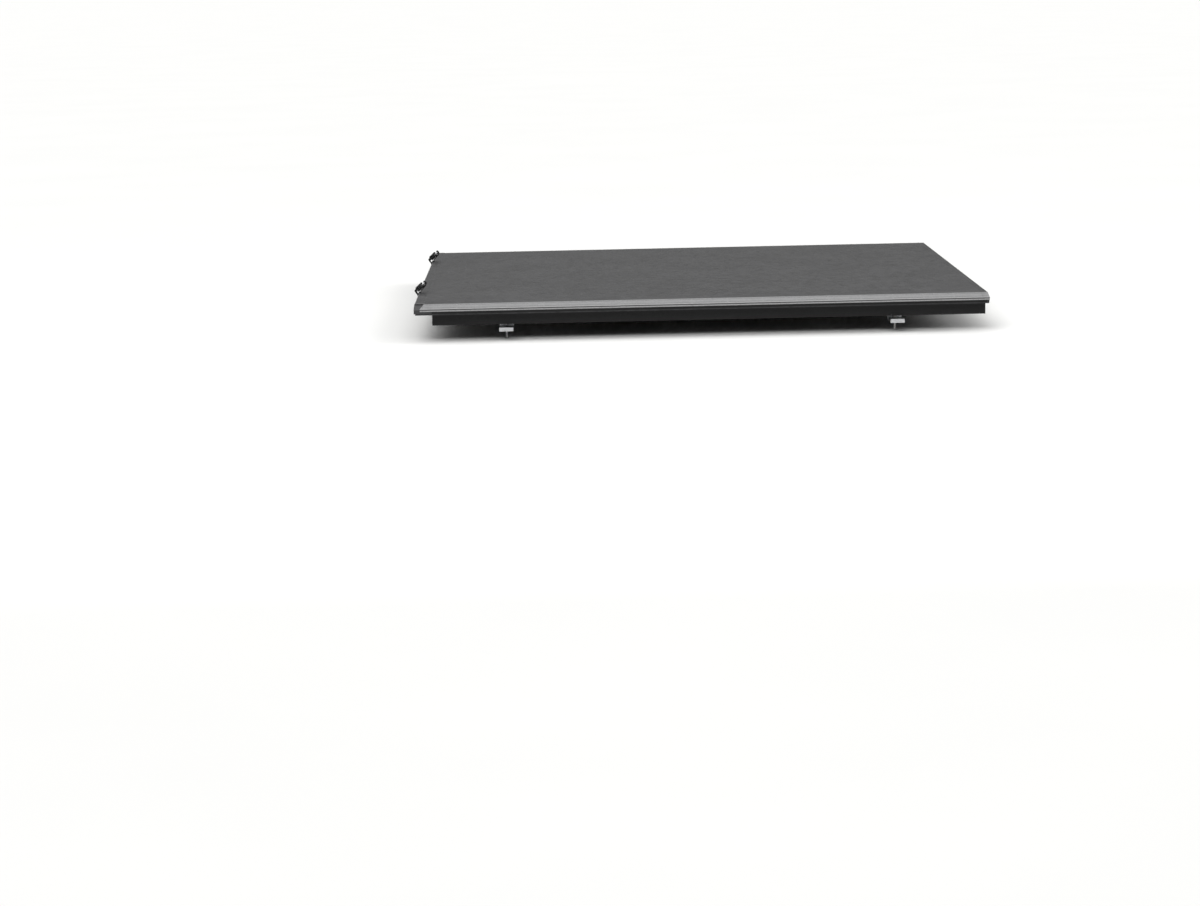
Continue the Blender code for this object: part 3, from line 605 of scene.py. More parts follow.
# ---------------------------------------------------------------- the skin
def half_outline():
    """Outer face of one half of the skin from the middle to the tip of the hem, then the inner face back.

    Each entry is (u, z, finish), where finish is the material of the strip that starts there."""
    outer = []
    middle_steps = 20
    flat_end = FOLD - 0.008
    for index in range(middle_steps):
        outer.append((flat_end * index / middle_steps, FLAT_TOP, 0))
    slope_at = lambda u: FLAT_TOP - FLAP_SLOPE * (u - FOLD)
    start, finish = (flat_end, FLAT_TOP), (FOLD + 0.008, slope_at(FOLD + 0.008))
    outer += [(u, z, 0) for u, z in curve3(start, (FOLD, FLAT_TOP), finish, 5, last=False)]
    slope_end = HALF - 0.0035
    for index in range(4):
        u = lerp(finish[0], slope_end, index / 4)
        outer.append((u, slope_at(u), FLAP))
    nose = curve3((slope_end, slope_at(slope_end)), (HEM_OUT, slope_at(HALF) + 0.0006), (HEM_OUT, 0.0162), 6)
    outer += [(u, z, FLAP if step < 2 else PAINTED_HIGHLIGHT) for step, (u, z) in enumerate(nose)]
    # the groove faces carry the painted shade
    outer[-1] = (HEM_OUT, 0.0162, SHADED_GROOVE)
    groove = [(HEM_OUT - 0.0011, 0.0155), (HEM_OUT - 0.0014, 0.0146), (HEM_OUT - 0.0002, 0.0136)]
    outer += [(u, z, SHADED_GROOVE) for u, z in groove[:-1]] + [(*groove[-1], FLAP)]
    bead = curve3((HEM_OUT + 0.0003, 0.0129), (HEM_OUT + 0.0008, 0.0114), (HEM_OUT, 0.0103), 3)
    outer += [(u, z, FLAP) for u, z in bead]
    outer += [(HEM_OUT - 0.0007, HEM_LOW, 0), (HALF + 0.0006, HEM_LOW + 0.0001, 0)]
    under = lambda u: slope_at(max(u, FOLD)) - SKIN
    inner = [(HALF + 0.0004, HEM_LOW + 0.0008, 1), (HALF + 0.0004, 0.0140, 1)]
    inner.append((HALF - 0.0008, under(HALF - 0.0008), 1))
    tape_in, tape_out = LOOP_TAPE
    sewn = 0.0005
    inner += [(tape_out + 0.0004, under(tape_out + 0.0004), 2), (tape_out, under(tape_out) - sewn, 2)]
    inner += [(tape_in, under(tape_in) - sewn, 2), (tape_in - 0.0004, under(tape_in - 0.0004), 1)]
    inner += [(FOLD, under(FOLD), 1), (FOLD - 0.008, FLAT_TOP - SKIN, 1)]
    for index in range(1, middle_steps // 2 + 1):
        inner.append((flat_end * (1 - 2 * index / middle_steps), FLAT_TOP - SKIN, 1))
    return outer, inner


OUTER, INNER = half_outline()


def narrowed(outline, limit, tip_first):
    """The same number of points, with all that lies past the limit gathered on a round edge there."""
    beyond = [index for index, entry in enumerate(outline) if entry[0] > limit - 0.001]
    result = []
    for index, (u, z, finish) in enumerate(outline):
        if index not in beyond:
            result.append((u, z, finish))
            continue
        t = (beyond.index(index) + 1) / (len(beyond) + 1)
        turn = math.pi / 2 * (t if not tip_first else 1 + t)
        radius = SKIN / 2
        centre = FLAT_TOP - radius
        result.append((limit - radius + radius * math.sin(turn), centre + radius * math.cos(turn), finish))
    return result


def ring(limit=None):
    """The closed outline of the skin, from the left hem over the top to the right hem and back below."""
    outer = narrowed(OUTER, limit, False) if limit else OUTER
    inner = narrowed(INNER, limit, True) if limit else INNER
    top = [(-u, z, f) for u, z, f in reversed(outer[1:])] + list(outer)
    bottom = list(inner) + [(-u, z, f) for u, z, f in reversed(inner[:-1])]
    return top + bottom


FULL_RING = ring()
NARROW_RING = ring(LIP_REAR_HALF)  # without the flaps
FRONT_LIP_RING = ring(LIP_FRONT_HALF)


def ring_lengths():
    """Distance along the outline from the middle of the top, for the texture."""
    middle = len(OUTER) - 1
    lengths = [0.0] * (len(FULL_RING) + 1)
    for index in range(middle + 1, len(FULL_RING) + 1):
        a, b = FULL_RING[index - 1], FULL_RING[index % len(FULL_RING)]
        lengths[index] = lengths[index - 1] + math.dist(a[:2], b[:2])
    for index in range(middle - 1, -1, -1):
        a, b = FULL_RING[index + 1], FULL_RING[index]
        lengths[index] = lengths[index + 1] - math.dist(a[:2], b[:2])
    return lengths


ACROSS = ring_lengths()


def ripple(x, y):
    """Height of the soft waves and pulled creases of the stretched skin."""
    inside = clamped((FOLD - 0.012 - abs(y)) / 0.05)
    slow = noise.noise(Vector((x * 3.1, y * 2.3, 4.7))) * 0.0006
    cross = noise.noise(Vector((x * 13.0, y * 4.0, 9.1))) * 0.00025
    height = slow + cross
    for start_y, end_y in CREASES:
        t = (x - CREASE_START) / CREASE_RUN
        if -0.1 < t < 1.1:
            ridge_y = lerp(start_y, end_y, t)
            bell = math.exp(-(((y - ridge_y) / CREASE_WIDE) ** 2))
            height += CREASE_HIGH * bell * math.sin(math.pi * clamped(t))
    front = clamped((x - FRONT - 0.004) / 0.01)
    rear = clamped((REAR - 0.004 - x) / 0.02)
    return height * inside * front * rear


def station_at(x, z, lean, along, outline, spread):
    """One section of the skin; spread keeps the flaps upright where the section leans."""
    return {"x": x, "z": z, "lean": lean, "along": along, "outline": outline, "spread": spread}


def flat_station(x, along, outline=None):
    return station_at(x, FLAT_TOP, 0.0, along, outline or FULL_RING, True)


def turned_stations(x_edge, direction, low, lip_outline, arc_outline):
    """Stations from the flat top round the corner at x_edge and down the lip."""
    centre_x = x_edge - direction * TURN
    along = centre_x
    stations = []
    steps = 6
    for index in range(1, steps + 1):
        turn = math.pi / 2 * index / steps
        x = centre_x + direction * TURN * math.sin(turn)
        z = FLAT_TOP - TURN + TURN * math.cos(turn)
        spot = along + direction * TURN * turn
        stations.append(station_at(x, z, direction * turn, spot, arc_outline, True))
    along += direction * TURN * math.pi / 2
    for share in (0.02, 0.5, 1.0):
        drop = (FLAT_TOP - TURN - low) * share
        z = FLAT_TOP - TURN - drop
        spot = along + direction * drop
        stations.append(station_at(x_edge, z, direction * math.pi / 2, spot, lip_outline, False))
    return stations


def ring_points(station):
    """Points of one station, with the section turned about the across-axis by the station's lean."""
    points = []
    lean = station["lean"]
    mitre = station.get("mitre", 0.0)
    for y, z, _ in station["outline"]:
        depth = z - FLAT_TOP
        forward = mitre * clamped((abs(y) - FOLD) / (HALF - FOLD))
        if station["spread"] and abs(y) > LIP_REAR_HALF:
            points.append((station["x"] - forward, y, z))
            continue
        x = station["x"] + depth * math.sin(lean)
        height = station["z"] + depth * math.cos(lean)
        if lean == 0.0:
            height += ripple(station["x"], y)
        points.append((x, y, height))
    return points


# share of a stitch's length from its middle, and the thread's radius there
SPINDLE = ((-0.5, 0.00012), (-0.36, 0.00036), (0.0, 0.00046), (0.36, 0.00036), (0.5, 0.00012))


def stitch(shape, at, along, up, finish, length=STITCH_LENGTH):
    """One visible loop of thread: a small spindle lying on the surface."""
    along = Vector(along).normalized()
    up = Vector(up).normalized()
    across = along.cross(up)
    rings = []
    for share, radius in SPINDLE:
        middle = Vector(at) + along * (length * share) + up * (0.00018 - abs(share) * 0.0005)
        rings.append(circle(middle, across, up, radius, 6))
    sweep(shape, rings, finish)


def outline_spot(u):
    """Height of the skin's outer face at u, and its outward normal there, on the right-hand side."""
    z = FLAT_TOP - FLAP_SLOPE * max(0.0, u - FOLD)
    normal = (0.0, math.sin(math.atan(FLAP_SLOPE)), math.cos(math.atan(FLAP_SLOPE)))
    return z, normal if u > FOLD else (0.0, 0.0, 1.0)


def stitch_rows(shape, x0, x1):
    """Rows of thread along the hem and along both edges of the sewn loop tape."""
    first = math.ceil(x0 / STITCH_PITCH)
    last = math.floor(x1 / STITCH_PITCH)
    for index in range(first, last + 1):
        x = index * STITCH_PITCH
        reach = STITCH_LENGTH / 2
        if not max(x0, FLAP_START + 0.003) < x - reach < x + reach < min(x1, REAR - 0.003):
            continue
        for side in SIDES.values():
            stitch(shape, (x, side * (HEM_OUT + 0.0004), 0.0121), (1, 0, 0), (0, side, 0), 3)
            for u in (LOOP_TAPE[0] + 0.002, LOOP_TAPE[1] - 0.002):
                z, (_, lean_y, lean_z) = outline_spot(u)
                stitch(shape, (x, side * u, z), (1, 0, 0), (0, side * lean_y, lean_z), 4)


def cross_rows(shape, x, half):
    """A row of thread across the cover, such as the ones that close the front and rear hems."""
    count = int(half / STITCH_PITCH)
    for index in range(-count, count + 1):
        y = index * STITCH_PITCH
        z = FLAT_TOP - FLAP_SLOPE * max(0.0, abs(y) - FOLD) + ripple(x, y)
        tilt = FLAP_SLOPE if abs(y) > FOLD else 0.0
        side = 1 if y > 0 else -1
        stitch(shape, (x, y, z), (0, 1, -side * tilt), (0, side * tilt, 1), 4)


def skin_piece(name, stations, cross=()):
    """One length of the skin as a closed mesh, with its rows of thread."""
    shape = Shape()
    rings = [ring_points(station) for station in stations]
    count = len(FULL_RING)
    for points in rings:
        shape.points.extend(points)
    for row in range(len(rings) - 1):
        for column in range(count):
            square = [(row + down, column + side) for down, side in ((0, 0), (1, 0), (1, 1), (0, 1))]
            corners = [r * count + c % count for r, c in square]
            a, b = stations[row]["along"], stations[row + 1]["along"]
            left, right = ACROSS[column], ACROSS[column + 1]
            finish = FULL_RING[column][2]
            leans = [abs(stations[k]["lean"]) for k in (row, row + 1)]
            # faces of the turned edges get the painted highlight
            if finish == 0 and PAINTED_HIGHLIGHT_LEAN[0] < sum(leans) / 2 < PAINTED_HIGHLIGHT_LEAN[1]:
                finish = PAINTED_HIGHLIGHT
            shape.face(corners, finish, [(a, left), (b, left), (b, right), (a, right)])
    last = (len(rings) - 1) * count
    for start, order in ((0, range(count)), (last, reversed(range(count)))):
        corners = list(order)
        spots = [(stations[0]["along"] if start == 0 else stations[-1]["along"], ACROSS[c]) for c in corners]
        shape.face([start + c for c in corners], 1, spots)
    xs = [station["x"] for station in stations]
    stitch_rows(shape, min(xs), max(xs))
    for x, half in cross:
        cross_rows(shape, x, half)
    materials = [VINYL, BACKING, LOOP, PALE_THREAD, DARK_THREAD, PAINTED_LIGHT_FLAP, PAINTED_HIGHLIGHT_VINYL, PAINTED_SHADE_VINYL]
    return shape.object(name, materials, sharp=38.0)


def strip_centre(index):
    """Middle of the strip that body number index carries."""
    return (LINES[index - 1] + LINES[index]) / 2


def build_skin():
    """The front piece, then a piece across each bending line, cut where the strips are rigid."""
    front = [flat_station(FRONT + TURN, FRONT + TURN, NARROW_RING)]
    front = list(reversed(turned_stations(FRONT, -1, LIP_FRONT_LOW, FRONT_LIP_RING, NARROW_RING))) + front
    for x in (*CREASE_SECTIONS, FLAP_START - 0.0001):
        front.append(flat_station(x, x, NARROW_RING))
    front.append(dict(flat_station(FLAP_START, FLAP_START), mitre=FLAP_MITRE))
    steps = 10
    for index in range(1, steps + 1):
        x = lerp(FLAP_START, FIRST_CUT, index / steps)
        front.append(flat_station(x, x))
    piece = skin_piece("skin_front", front, [(FRONT_ROW, HALF - 0.003)])
    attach(piece, "frame")
    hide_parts("cover_sheet_00")

    cuts = [FIRST_CUT] + [strip_centre(index) for index in range(1, len(LINES))]
    for index in range(len(BEND_JOINTS)):
        start = cuts[index]
        last_piece = index == len(BEND_JOINTS) - 1
        stop = REAR - TURN if last_piece else cuts[index + 1]
        steps = 18 if not last_piece else 14
        stations = []
        for step in range(steps + 1):
            x = lerp(start, stop, step / steps)
            stations.append(flat_station(x, x))
        cross = []
        if last_piece:
            stations += turned_stations(REAR, 1, LIP_REAR_LOW, NARROW_RING, FULL_RING)
            cross = [(REAR_ROW, HALF - 0.003)]
        piece = skin_piece(f"skin_{index + 1:02d}", stations, cross)
        before, after = BODIES[index], BODIES[index + 1]
        blend_start = start + (BOW_MARGIN if before in BOW_BODIES else MARGIN)
        blend_stop = stop - (BOW_MARGIN if after in BOW_BODIES else MARGIN)
        if last_piece:
            blend_stop = REAR_BAR_EDGE
        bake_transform(piece, before, after, start=(blend_start, 0, FLAT_TOP), end=(blend_stop, 0, FLAT_TOP))
        node = "cover_sheet_rear" if last_piece else f"cover_sheet_{index + 1:02d}"
        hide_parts(node)


build_skin()


# ---------------------------------------------------------------- straps and buckles
def inset(outline, depth):
    """A closed outline drawn in by depth; its points run counter-clockwise."""
    result = []
    count = len(outline)
    for index in range(count):
        here = Vector(outline[index])
        first = (here - Vector(outline[index - 1])).normalized()
        second = (Vector(outline[(index + 1) % count]) - here).normalized()
        inward = Vector((-first.y - second.y, first.x + second.x))
        result.append(here + inward.normalized() * (2 * depth / max(1.0, inward.length)))
    return result


def rounded_outline(corners, radius, steps=4):
    result = []
    count = len(corners)
    for index in range(count):
        here = Vector(corners[index])
        before = Vector(corners[index - 1]) - here
        after = Vector(corners[(index + 1) % count]) - here
        reach = min(radius, before.length * 0.45, after.length * 0.45)
        start, stop = here + before.normalized() * reach, here + after.normalized() * reach
        result += curve3(start, here, stop, steps)
    return result


def slab(shape, corners, low, high, at, corner=0.001, edge=0.0007):
    """A plate between two heights, with rounded corners and edges, placed by the matrix at."""
    outline = rounded_outline(corners, corner)
    rings = []
    steps = 3
    for level, sign in ((low, 1), (high, -1)):
        arc = []
        for index in range(steps + 1):
            turn = math.pi / 2 * index / steps
            height = level + sign * edge * (1 - math.sin(turn))
            arc.append([at @ Vector((p.x, p.y, height)) for p in inset(outline, edge * (1 - math.cos(turn)))])
        rings += list(reversed(arc)) if sign > 0 else arc
    sweep(shape, rings)


def mirrored(corners):
    return [(a, -b) for a, b in reversed(corners)]



def tube(shape, path, radius, segments, closed=False):
    """A round wire along a path."""
    count = len(path)
    rings = []
    side = None
    for index, here in enumerate(path):
        before = path[index - 1] if index or closed else here
        after = path[(index + 1) % count] if index < count - 1 or closed else here
        ahead = (Vector(after) - Vector(before)).normalized()
        if side is None:
            side = ahead.orthogonal().normalized()
        side = (side - ahead * side.dot(ahead)).normalized()
        up = ahead.cross(side)
        rings.append(circle(Vector(here), side, up, radius, segments))
    if closed:
        rings.append(rings[0])
    sweep(shape, rings, caps=not closed)


def smooth_path(points, steps=5):
    """A flowing line through the points."""
    result = []
    for index in range(len(points) - 1):
        p0 = Vector(points[max(index - 1, 0)])
        p1, p2 = Vector(points[index]), Vector(points[index + 1])
        p3 = Vector(points[min(index + 2, len(points) - 1)])
        for step in range(steps):
            t = step / steps
            square, cube = 2 * p0 - 5 * p1 + 4 * p2 - p3, 3 * p1 - p0 - 3 * p2 + p3
            result.append(0.5 * (2 * p1 + (p2 - p0) * t + square * t**2 + cube * t**3))
    result.append(Vector(points[-1]))
    return result


BUCKLE_THICKENING = 1.3  # the moulded faces are crowned beyond their flat solids
STRAP_HALF = 0.01225
STRAP_THICK = 0.0012


def ribbon(shape, points, y):
    """Flat webbing along a line in the XZ plane, with thicker selvedges."""
    line = smooth_path(points)
    thick = STRAP_THICK / 2
    section = [(-STRAP_HALF, 0.0), (-STRAP_HALF + 0.0005, thick + 0.00012), (-STRAP_HALF + 0.0016, thick)]
    section += [(STRAP_HALF - 0.0016, thick), (STRAP_HALF - 0.0005, thick + 0.00012), (STRAP_HALF, 0.0)]
    section += [(across, -height) for across, height in reversed(section[1:-1])]
    rings = []
    lengths = [0.0]
    for index, here in enumerate(line):
        ahead = (line[min(index + 1, len(line) - 1)] - line[max(index - 1, 0)]).normalized()
        if index:
            lengths.append(lengths[-1] + (here - line[index - 1]).length)
        rings.append([(here.x - ahead.y * h, y + across, here.y + ahead.x * h) for across, h in section])
    sweep(shape, rings, places=lambda row, column: (lengths[row], section[column % len(section)][0]))


def strap_stitches(shape, centre, along, up, half_length, finish):
    """A stitched box with a cross in it, on the face of a strap."""
    along = Vector(along).normalized()
    up = Vector(up).normalized()
    across = Vector((0, 1, 0))
    half_width = STRAP_HALF - 0.0030
    corners = rectangle(-1, 1, -1, 1)
    runs = [(corners[k], corners[(k + 1) % 4]) for k in range(4)]
    runs += [(corners[0], corners[2]), (corners[1], corners[3])]
    for (a0, b0), (a1, b1) in runs:
        start = Vector(centre) + along * (half_length * a0) + across * (half_width * b0)
        stop = Vector(centre) + along * (half_length * a1) + across * (half_width * b1)
        count = max(2, round((stop - start).length / 0.0030))
        for index in range(count):
            middle = start.lerp(stop, (index + 0.5) / count)
            stitch(shape, middle, stop - start, up, finish, 0.0023)


def buckle_centre(word):
    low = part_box(f"buckle_socket_{word}")[0]
    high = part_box(f"buckle_plug_{word}")[1]
    return (low + high) / 2


def buckle_matrix(word):
    """The buckle's own axes: a up along the strap, b across it, n out of its face."""
    slant = math.sqrt(0.5)
    thick = slant * BUCKLE_THICKENING
    turned_axes = Matrix(((slant, 0, -thick), (0, 1, 0), (slant, 0, thick)))
    return Matrix.Translation(buckle_centre(word)) @ turned_axes.to_4x4()


def buckle_socket(word):
    """Two faces over a hollow, open at the sides for the prongs, with a bar for the strap."""
    at = buckle_matrix(word)
    shape = Shape()
    edge = [(-0.0128, -0.0142), (-0.0096, -0.0152), (-0.0078, -0.0120), (-0.0022, -0.0116)]
    edge += [(-0.0006, -0.0150), (0.0019, -0.0142)]
    face = edge + mirrored(edge)
    slab(shape, face, 0.0026, 0.0056, at, 0.0012, 0.0011)
    slab(shape, face, -0.0056, -0.0026, at, 0.0012, 0.0011)
    slab(shape, rectangle(-0.0126, -0.0086, -0.0140, 0.0140), -0.003, 0.003, at)
    for b in (-0.0136, 0.0136):
        post = rectangle(-0.0006, 0.0017, b - 0.0011, b + 0.0011)
        slab(shape, post, -0.003, 0.003, at, 0.0004, 0.0003)
        arm = [(-0.0174, b - 0.0010), (-0.0110, b - 0.0012), (-0.0110, b + 0.0014), (-0.0174, b + 0.0010)]
        slab(shape, arm, -0.0024, 0.0024, at, 0.0008, 0.0008)
    tube(shape, [at @ Vector((-0.0155, b, 0.0)) for b in (-0.0138, 0.0138)], 0.0016, 12)
    for a in (-0.0112, -0.0096):
        rib = rectangle(a - 0.0005, a + 0.0005, -0.0095, 0.0095)
        slab(shape, rib, 0.0050, 0.0060, at, 0.0004, 0.0003)
    piece = tidy(shape.object(f"buckle_socket_shell_{word}", [ACETAL], sharp=50.0))
    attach(piece, "frame")
    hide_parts(f"buckle_socket_{word}")


def buckle_plug(word):
    """A grip with two sprung prongs and a guide tongue."""
    at = buckle_matrix(word)
    shape = Shape()
    edge = [(0.0026, -0.0142), (0.0052, -0.0150), (0.0068, -0.0138), (0.0088, -0.0150), (0.0108, -0.0138)]
    slab(shape, edge + mirrored(edge), -0.0050, 0.0050, at, 0.0014, 0.0016)
    prong = [(0.0036, 0.0078), (0.0036, 0.0112), (-0.0010, 0.0120), (-0.0022, 0.0146), (-0.0052, 0.0140)]
    prong += [(-0.0082, 0.0104), (-0.0080, 0.0086), (-0.0050, 0.0100), (-0.0020, 0.0088)]
    for corners in (list(reversed(prong)), mirrored(list(reversed(prong)))):
        slab(shape, corners, -0.0021, 0.0021, at, 0.0008, 0.0006)
    tongue = [(-0.0080, -0.0014), (0.0036, -0.0018), (0.0036, 0.0018), (-0.0080, 0.0014)]
    slab(shape, tongue, -0.0021, 0.0021, at, 0.0008, 0.0006)
    for a in (0.0050, 0.0067, 0.0084):
        for level in (0.0046, -0.0054):
            rib = rectangle(a - 0.0005, a + 0.0005, -0.0100, 0.0100)
            slab(shape, rib, level, level + 0.0008, at, 0.0004, 0.0003)
    piece = tidy(shape.object(f"buckle_plug_shell_{word}", [ACETAL], sharp=50.0))
    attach(piece, f"buckle_{word}")
    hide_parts(f"buckle_plug_{word}")
    loop = Shape()
    corners = rectangle(0.0090, 0.0172, -0.0138, 0.0138)
    path = [at @ Vector((a, b, 0.0)) for a, b in rounded_outline(corners, 0.0022, 6)]
    tube(loop, path, 0.0016, 12, closed=True)
    wire = tidy(loop.object(f"buckle_wire_{word}", [STEEL], sharp=60.0))
    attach(wire, f"buckle_{word}")


def strap(word):
    """Webbing from the header's face over its edge to the plug, and from the face to the socket."""
    at = buckle_matrix(word)
    y = buckle_centre(word).y
    shape = Shape()

    def spot(a, n):
        place = at @ Vector((a, 0, n))
        return (place.x, place.z)

    face = FRONT - 0.0009
    outer = face - 0.0015
    lying = FLAT_TOP + 0.0009
    upper = [(face, 0.0105), (face, 0.0200), (face + 0.0001, lying - 0.0018), (face + 0.0021, lying)]
    upper += [(-0.8180, lying), spot(-0.0088, -0.0088), spot(-0.0050, -0.0079), spot(0.0040, -0.0074)]
    upper += [spot(0.0140, -0.0072), spot(0.0188, -0.0056), spot(0.0208, -0.0022), spot(0.0204, 0.0012)]
    upper += [spot(0.0184, 0.0024), spot(0.0160, 0.0018), spot(0.0150, 0.0), spot(0.0158, -0.0018)]
    upper += [spot(0.0172, -0.0030), spot(0.0168, -0.0048), spot(0.0120, -0.0056), spot(0.0040, -0.0058)]
    ribbon(shape, upper, y)
    lower = [(outer, 0.0100), (outer, 0.0160), (outer - 0.0006, 0.0215), (-0.8270, 0.0262), (-0.8302, 0.0302)]
    lower += [spot(-0.0192, 0.0028), spot(-0.0165, 0.0024), spot(-0.0140, 0.0018), spot(-0.0131, 0.0)]
    lower += [spot(-0.0140, -0.0019), spot(-0.0165, -0.0023), spot(-0.0190, -0.0004), (-0.8286, 0.0300)]
    lower += [(-0.8262, 0.0268), (-0.8254, 0.0238)]
    ribbon(shape, lower, y)
    strap_stitches(shape, (outer - STRAP_THICK / 2, y, 0.0150), (0, 0, 1), (-1, 0, 0), 0.0036, 1)
    backed = at @ Vector((0.0090, 0, -0.0073))
    strap_stitches(shape, (backed.x + 0.0004, y, backed.z - 0.0004), (1, 0, 1), (1, 0, -1), 0.0045, 1)
    piece = tidy(shape.object(f"strap_webbing_{word}", [WEBBING, DARK_THREAD], sharp=70.0))
    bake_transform(piece, "frame", f"buckle_{word}", start=(-0.81, y, 0.0395), end=(-0.81, y, 0.0500))
    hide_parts(f"strap_{word}")


for strap_word in SIDES:
    buckle_socket(strap_word)
    buckle_plug(strap_word)
    strap(strap_word)


# ---------------------------------------------------------------- threaded fasteners
def turned(shape, axis, start, profile, segments, sides=None):
    """A turned piece: profile gives (distance along, radius), on an axis of unit length."""
    axis = Vector(axis)
    side = axis.orthogonal().normalized()
    up = axis.cross(side)
    rings = []
    for along, radius in profile:
        middle = Vector(start) + axis * along
        ring_of = []
        for k in range(segments):
            turn = 2 * math.pi * k / segments
            reach = radius
            if sides:
                part = math.pi / sides
                reach = radius * math.cos(part) / math.cos((turn % (2 * part)) - part)
            ring_of.append(middle + (side * math.cos(turn) + up * math.sin(turn)) * reach)
        rings.append(ring_of)
    sweep(shape, rings)


def thread_profile(start, stop, crest, root, pitch):
    """Crests and roots of a screw thread, with a chamfered tip at the stop."""
    profile = []
    count = int(abs(stop - start) / pitch)
    step = (stop - start) / count
    for index in range(count):
        at = start + index * step
        profile += [(at, root), (at + step * 0.38, crest), (at + step * 0.62, crest)]
    return profile[:-1] + [(stop - step * 0.4, root), (stop, root - 0.0005)]


def clamp_bolt(number):
    """Hexagon bolt with a washer; a nut is welded under the jaw that it draws up."""
    low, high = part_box(f"clamp_bolt_{number}")
    x, y, _ = (low + high) / 2
    head = 0.0060
    seat = high.z - head
    shape = Shape()
    washer = [(0.0, 0.0078), (0.0002, 0.0081), (0.0010, 0.0081), (0.0012, 0.0078)]
    turned(shape, (0, 0, 1), (x, y, seat), washer, 32)
    hexagon = [(0.0012, 0.0064), (0.0016, 0.0068), (0.0053, 0.0068), (0.0060, 0.0060)]
    turned(shape, (0, 0, 1), (x, y, seat), hexagon, 36, sides=6)
    turned(shape, (0, 0, 1), (x, y, seat), [(0.0059, 0.0052), (0.0063, 0.0050)], 24)
    length = seat - low.z
    shank = [(0.0, 0.0038), (0.0090, 0.0038)] + thread_profile(0.0096, length, 0.0038, 0.0033, 0.00125)
    turned(shape, (0, 0, -1), (x, y, seat + 0.001), shank, 16)
    piece = tidy(shape.object(f"clamp_screw_{number}", [ZINC], sharp=32.0))
    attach(piece, "frame")
    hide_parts(f"clamp_bolt_{number}")
    jaw_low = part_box(f"clamp_jaw_{number}")[0].z
    nut = Shape()
    outline = [(0.0, 0.0064), (0.0004, 0.0072), (0.0046, 0.0072), (0.0052, 0.0062)]
    turned(nut, (0, 0, -1), (x, y, jaw_low + 0.0002), outline, 36, sides=6)
    turned(nut, (0, 0, -1), (x, y, jaw_low + 0.0002), [(0.0, 0.0079), (0.0006, 0.0082), (0.0013, 0.0074)], 28)
    welded = tidy(nut.object(f"clamp_nut_{number}", [ZINC], sharp=32.0))
    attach(welded, f"clamp_{number}")


def tension_screw(word):
    """Socket-head screw that lies in the header's end casting."""
    low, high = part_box(f"tension_screw_{word}")
    _, y, z = (low + high) / 2
    radius = (high.z - low.z) / 2
    shape = Shape()
    head = [(0.0022, 0.0001), (0.0022, 0.0024), (0.0004, 0.0026), (0.0, 0.0030), (0.0, radius - 0.0004)]
    head += [(0.0004, radius), (0.0040, radius), (0.0040, 0.0030)]
    shank = head + thread_profile(0.0046, high.x - low.x, 0.0030, 0.0025, 0.0010)
    turned(shape, (1, 0, 0), (low.x, y, z), shank, 24)
    piece = tidy(shape.object(f"header_screw_{word}", [ZINC], sharp=35.0))
    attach(piece, "frame")
    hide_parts(f"tension_screw_{word}")


CLOSER_ENDS = 0.055  # how much closer the spring's coils lie at its ends
STRAND = 0.0005  # radius of a strand of the cable, and of the circle its middle winds on


def latch_spring(word):
    """A coil spring round the latch bolt, which the bolt's collar presses as it is pulled in."""
    low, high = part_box(f"latch_spring_{word}")
    middle_x, _, middle_z = (low + high) / 2
    side = SIDES[word]
    fixed = min(abs(low.y), abs(high.y))
    free = max(abs(low.y), abs(high.y))
    wire = 0.00045
    radius = (high.x - low.x) / 2 - wire
    turns, steps = 9, 18
    path = []
    for index in range(turns * steps + 1):
        share = index / (turns * steps)
        turn = 2 * math.pi * index / steps
        eased = share - CLOSER_ENDS * math.sin(2 * math.pi * share)
        y = side * lerp(fixed + wire, free - wire, eased)
        path.append((middle_x + radius * math.cos(turn), y, middle_z + radius * math.sin(turn)))
    shape = Shape()
    tube(shape, path, wire, 8)
    piece = tidy(shape.object(f"coil_spring_{word}", [STEEL], sharp=60.0))
    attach(piece, "rear_bar")
    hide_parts(f"latch_spring_{word}")
    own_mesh(piece)


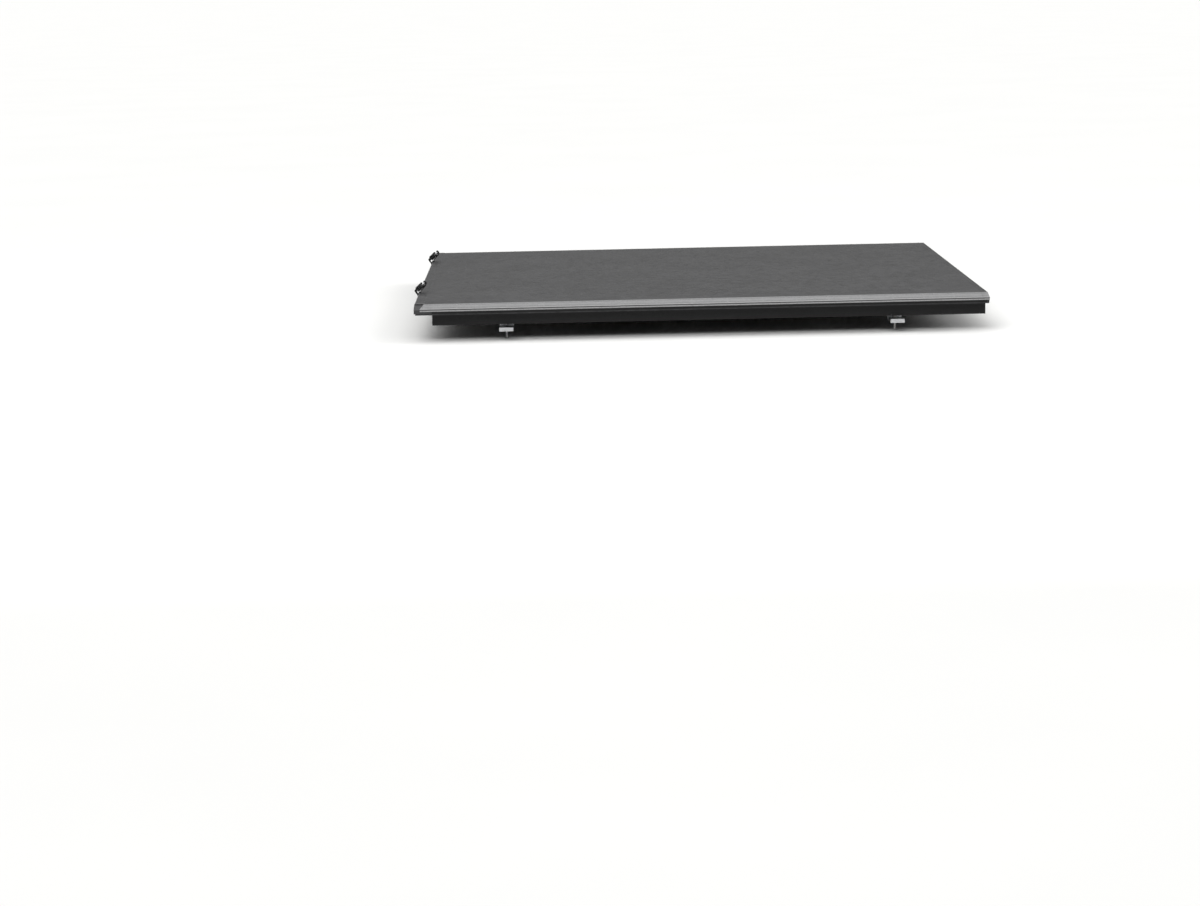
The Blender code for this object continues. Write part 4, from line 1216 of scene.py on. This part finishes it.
def latch_cable():
    """Three twisted strands between the two triggers, drawn shorter as both are pulled in."""
    low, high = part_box("latch_cable")
    x, _, z = (low + high) / 2
    steps = 640
    turns = 80
    shape = Shape()
    for strand in range(3):
        path = []
        for index in range(steps + 1):
            turn = 2 * math.pi * (turns * index / steps + strand / 3)
            y = lerp(low.y, high.y, index / steps)
            path.append((x + STRAND * math.cos(turn), y, z + STRAND * math.sin(turn)))
        tube(shape, path, STRAND, 5)
    piece = tidy(shape.object("twisted_cable", [ZINC], sharp=80.0))
    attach(piece, "rear_bar")
    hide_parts("latch_cable")
    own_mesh(piece)


for end_word in SIDES:
    latch_spring(end_word)
latch_cable()
for clamp_number in (1, 2, 3, 4):
    clamp_bolt(clamp_number)
for end_word in SIDES:
    tension_screw(end_word)


# ---------------------------------------------------------------- finishes of the CAD pieces that stay
def dress(node, material, rounding):
    """Give a CAD node its finish, and round its edges unless rounding is 0."""
    obj = nodes[node]
    obj.data.materials.clear()
    obj.data.materials.append(material)
    if rounding:
        modifier = obj.modifiers.new("rounded edges", "BEVEL")
        modifier.width = rounding
        modifier.segments = 2
        modifier.limit_method = "ANGLE"
        modifier.angle_limit = math.radians(40)
    obj.data.shade_smooth()
    obj.data.set_sharp_from_angle(angle=math.radians(35))


PAIRS = {
    "rail": (COAT, 0.0004),
    "hook_tape": (HOOK, 0.0),
    "rail_end_cap": (NYLON, 0.0008),
    "header_cap": (NYLON, 0.0008),
    "rear_cap": (NYLON, 0.0006),
    "latch_bolt": (ZINC, 0.0003),
    "trigger": (ACETAL, 0.0),
}
for side_word in SIDES:
    for pair, (material, rounding) in PAIRS.items():
        dress(f"{pair}_{side_word}", material, rounding)
for number in (1, 2, 3, 4):
    dress(f"clamp_bracket_{number}", CLAMP_ALLOY, 0.0006)
    dress(f"clamp_jaw_{number}", CLAMP_ALLOY, 0.0006)
for number in (1, 2, 3):
    dress(f"bow_{number}", BOW_ALLOY, 0.0003)
dress("bed_seal", FOAM, 0.0008)
dress("rear_seal", FOAM, 0.0010)
dress("header_rail", COAT, 0.0004)
dress("rear_bar", COAT, 0.0004)
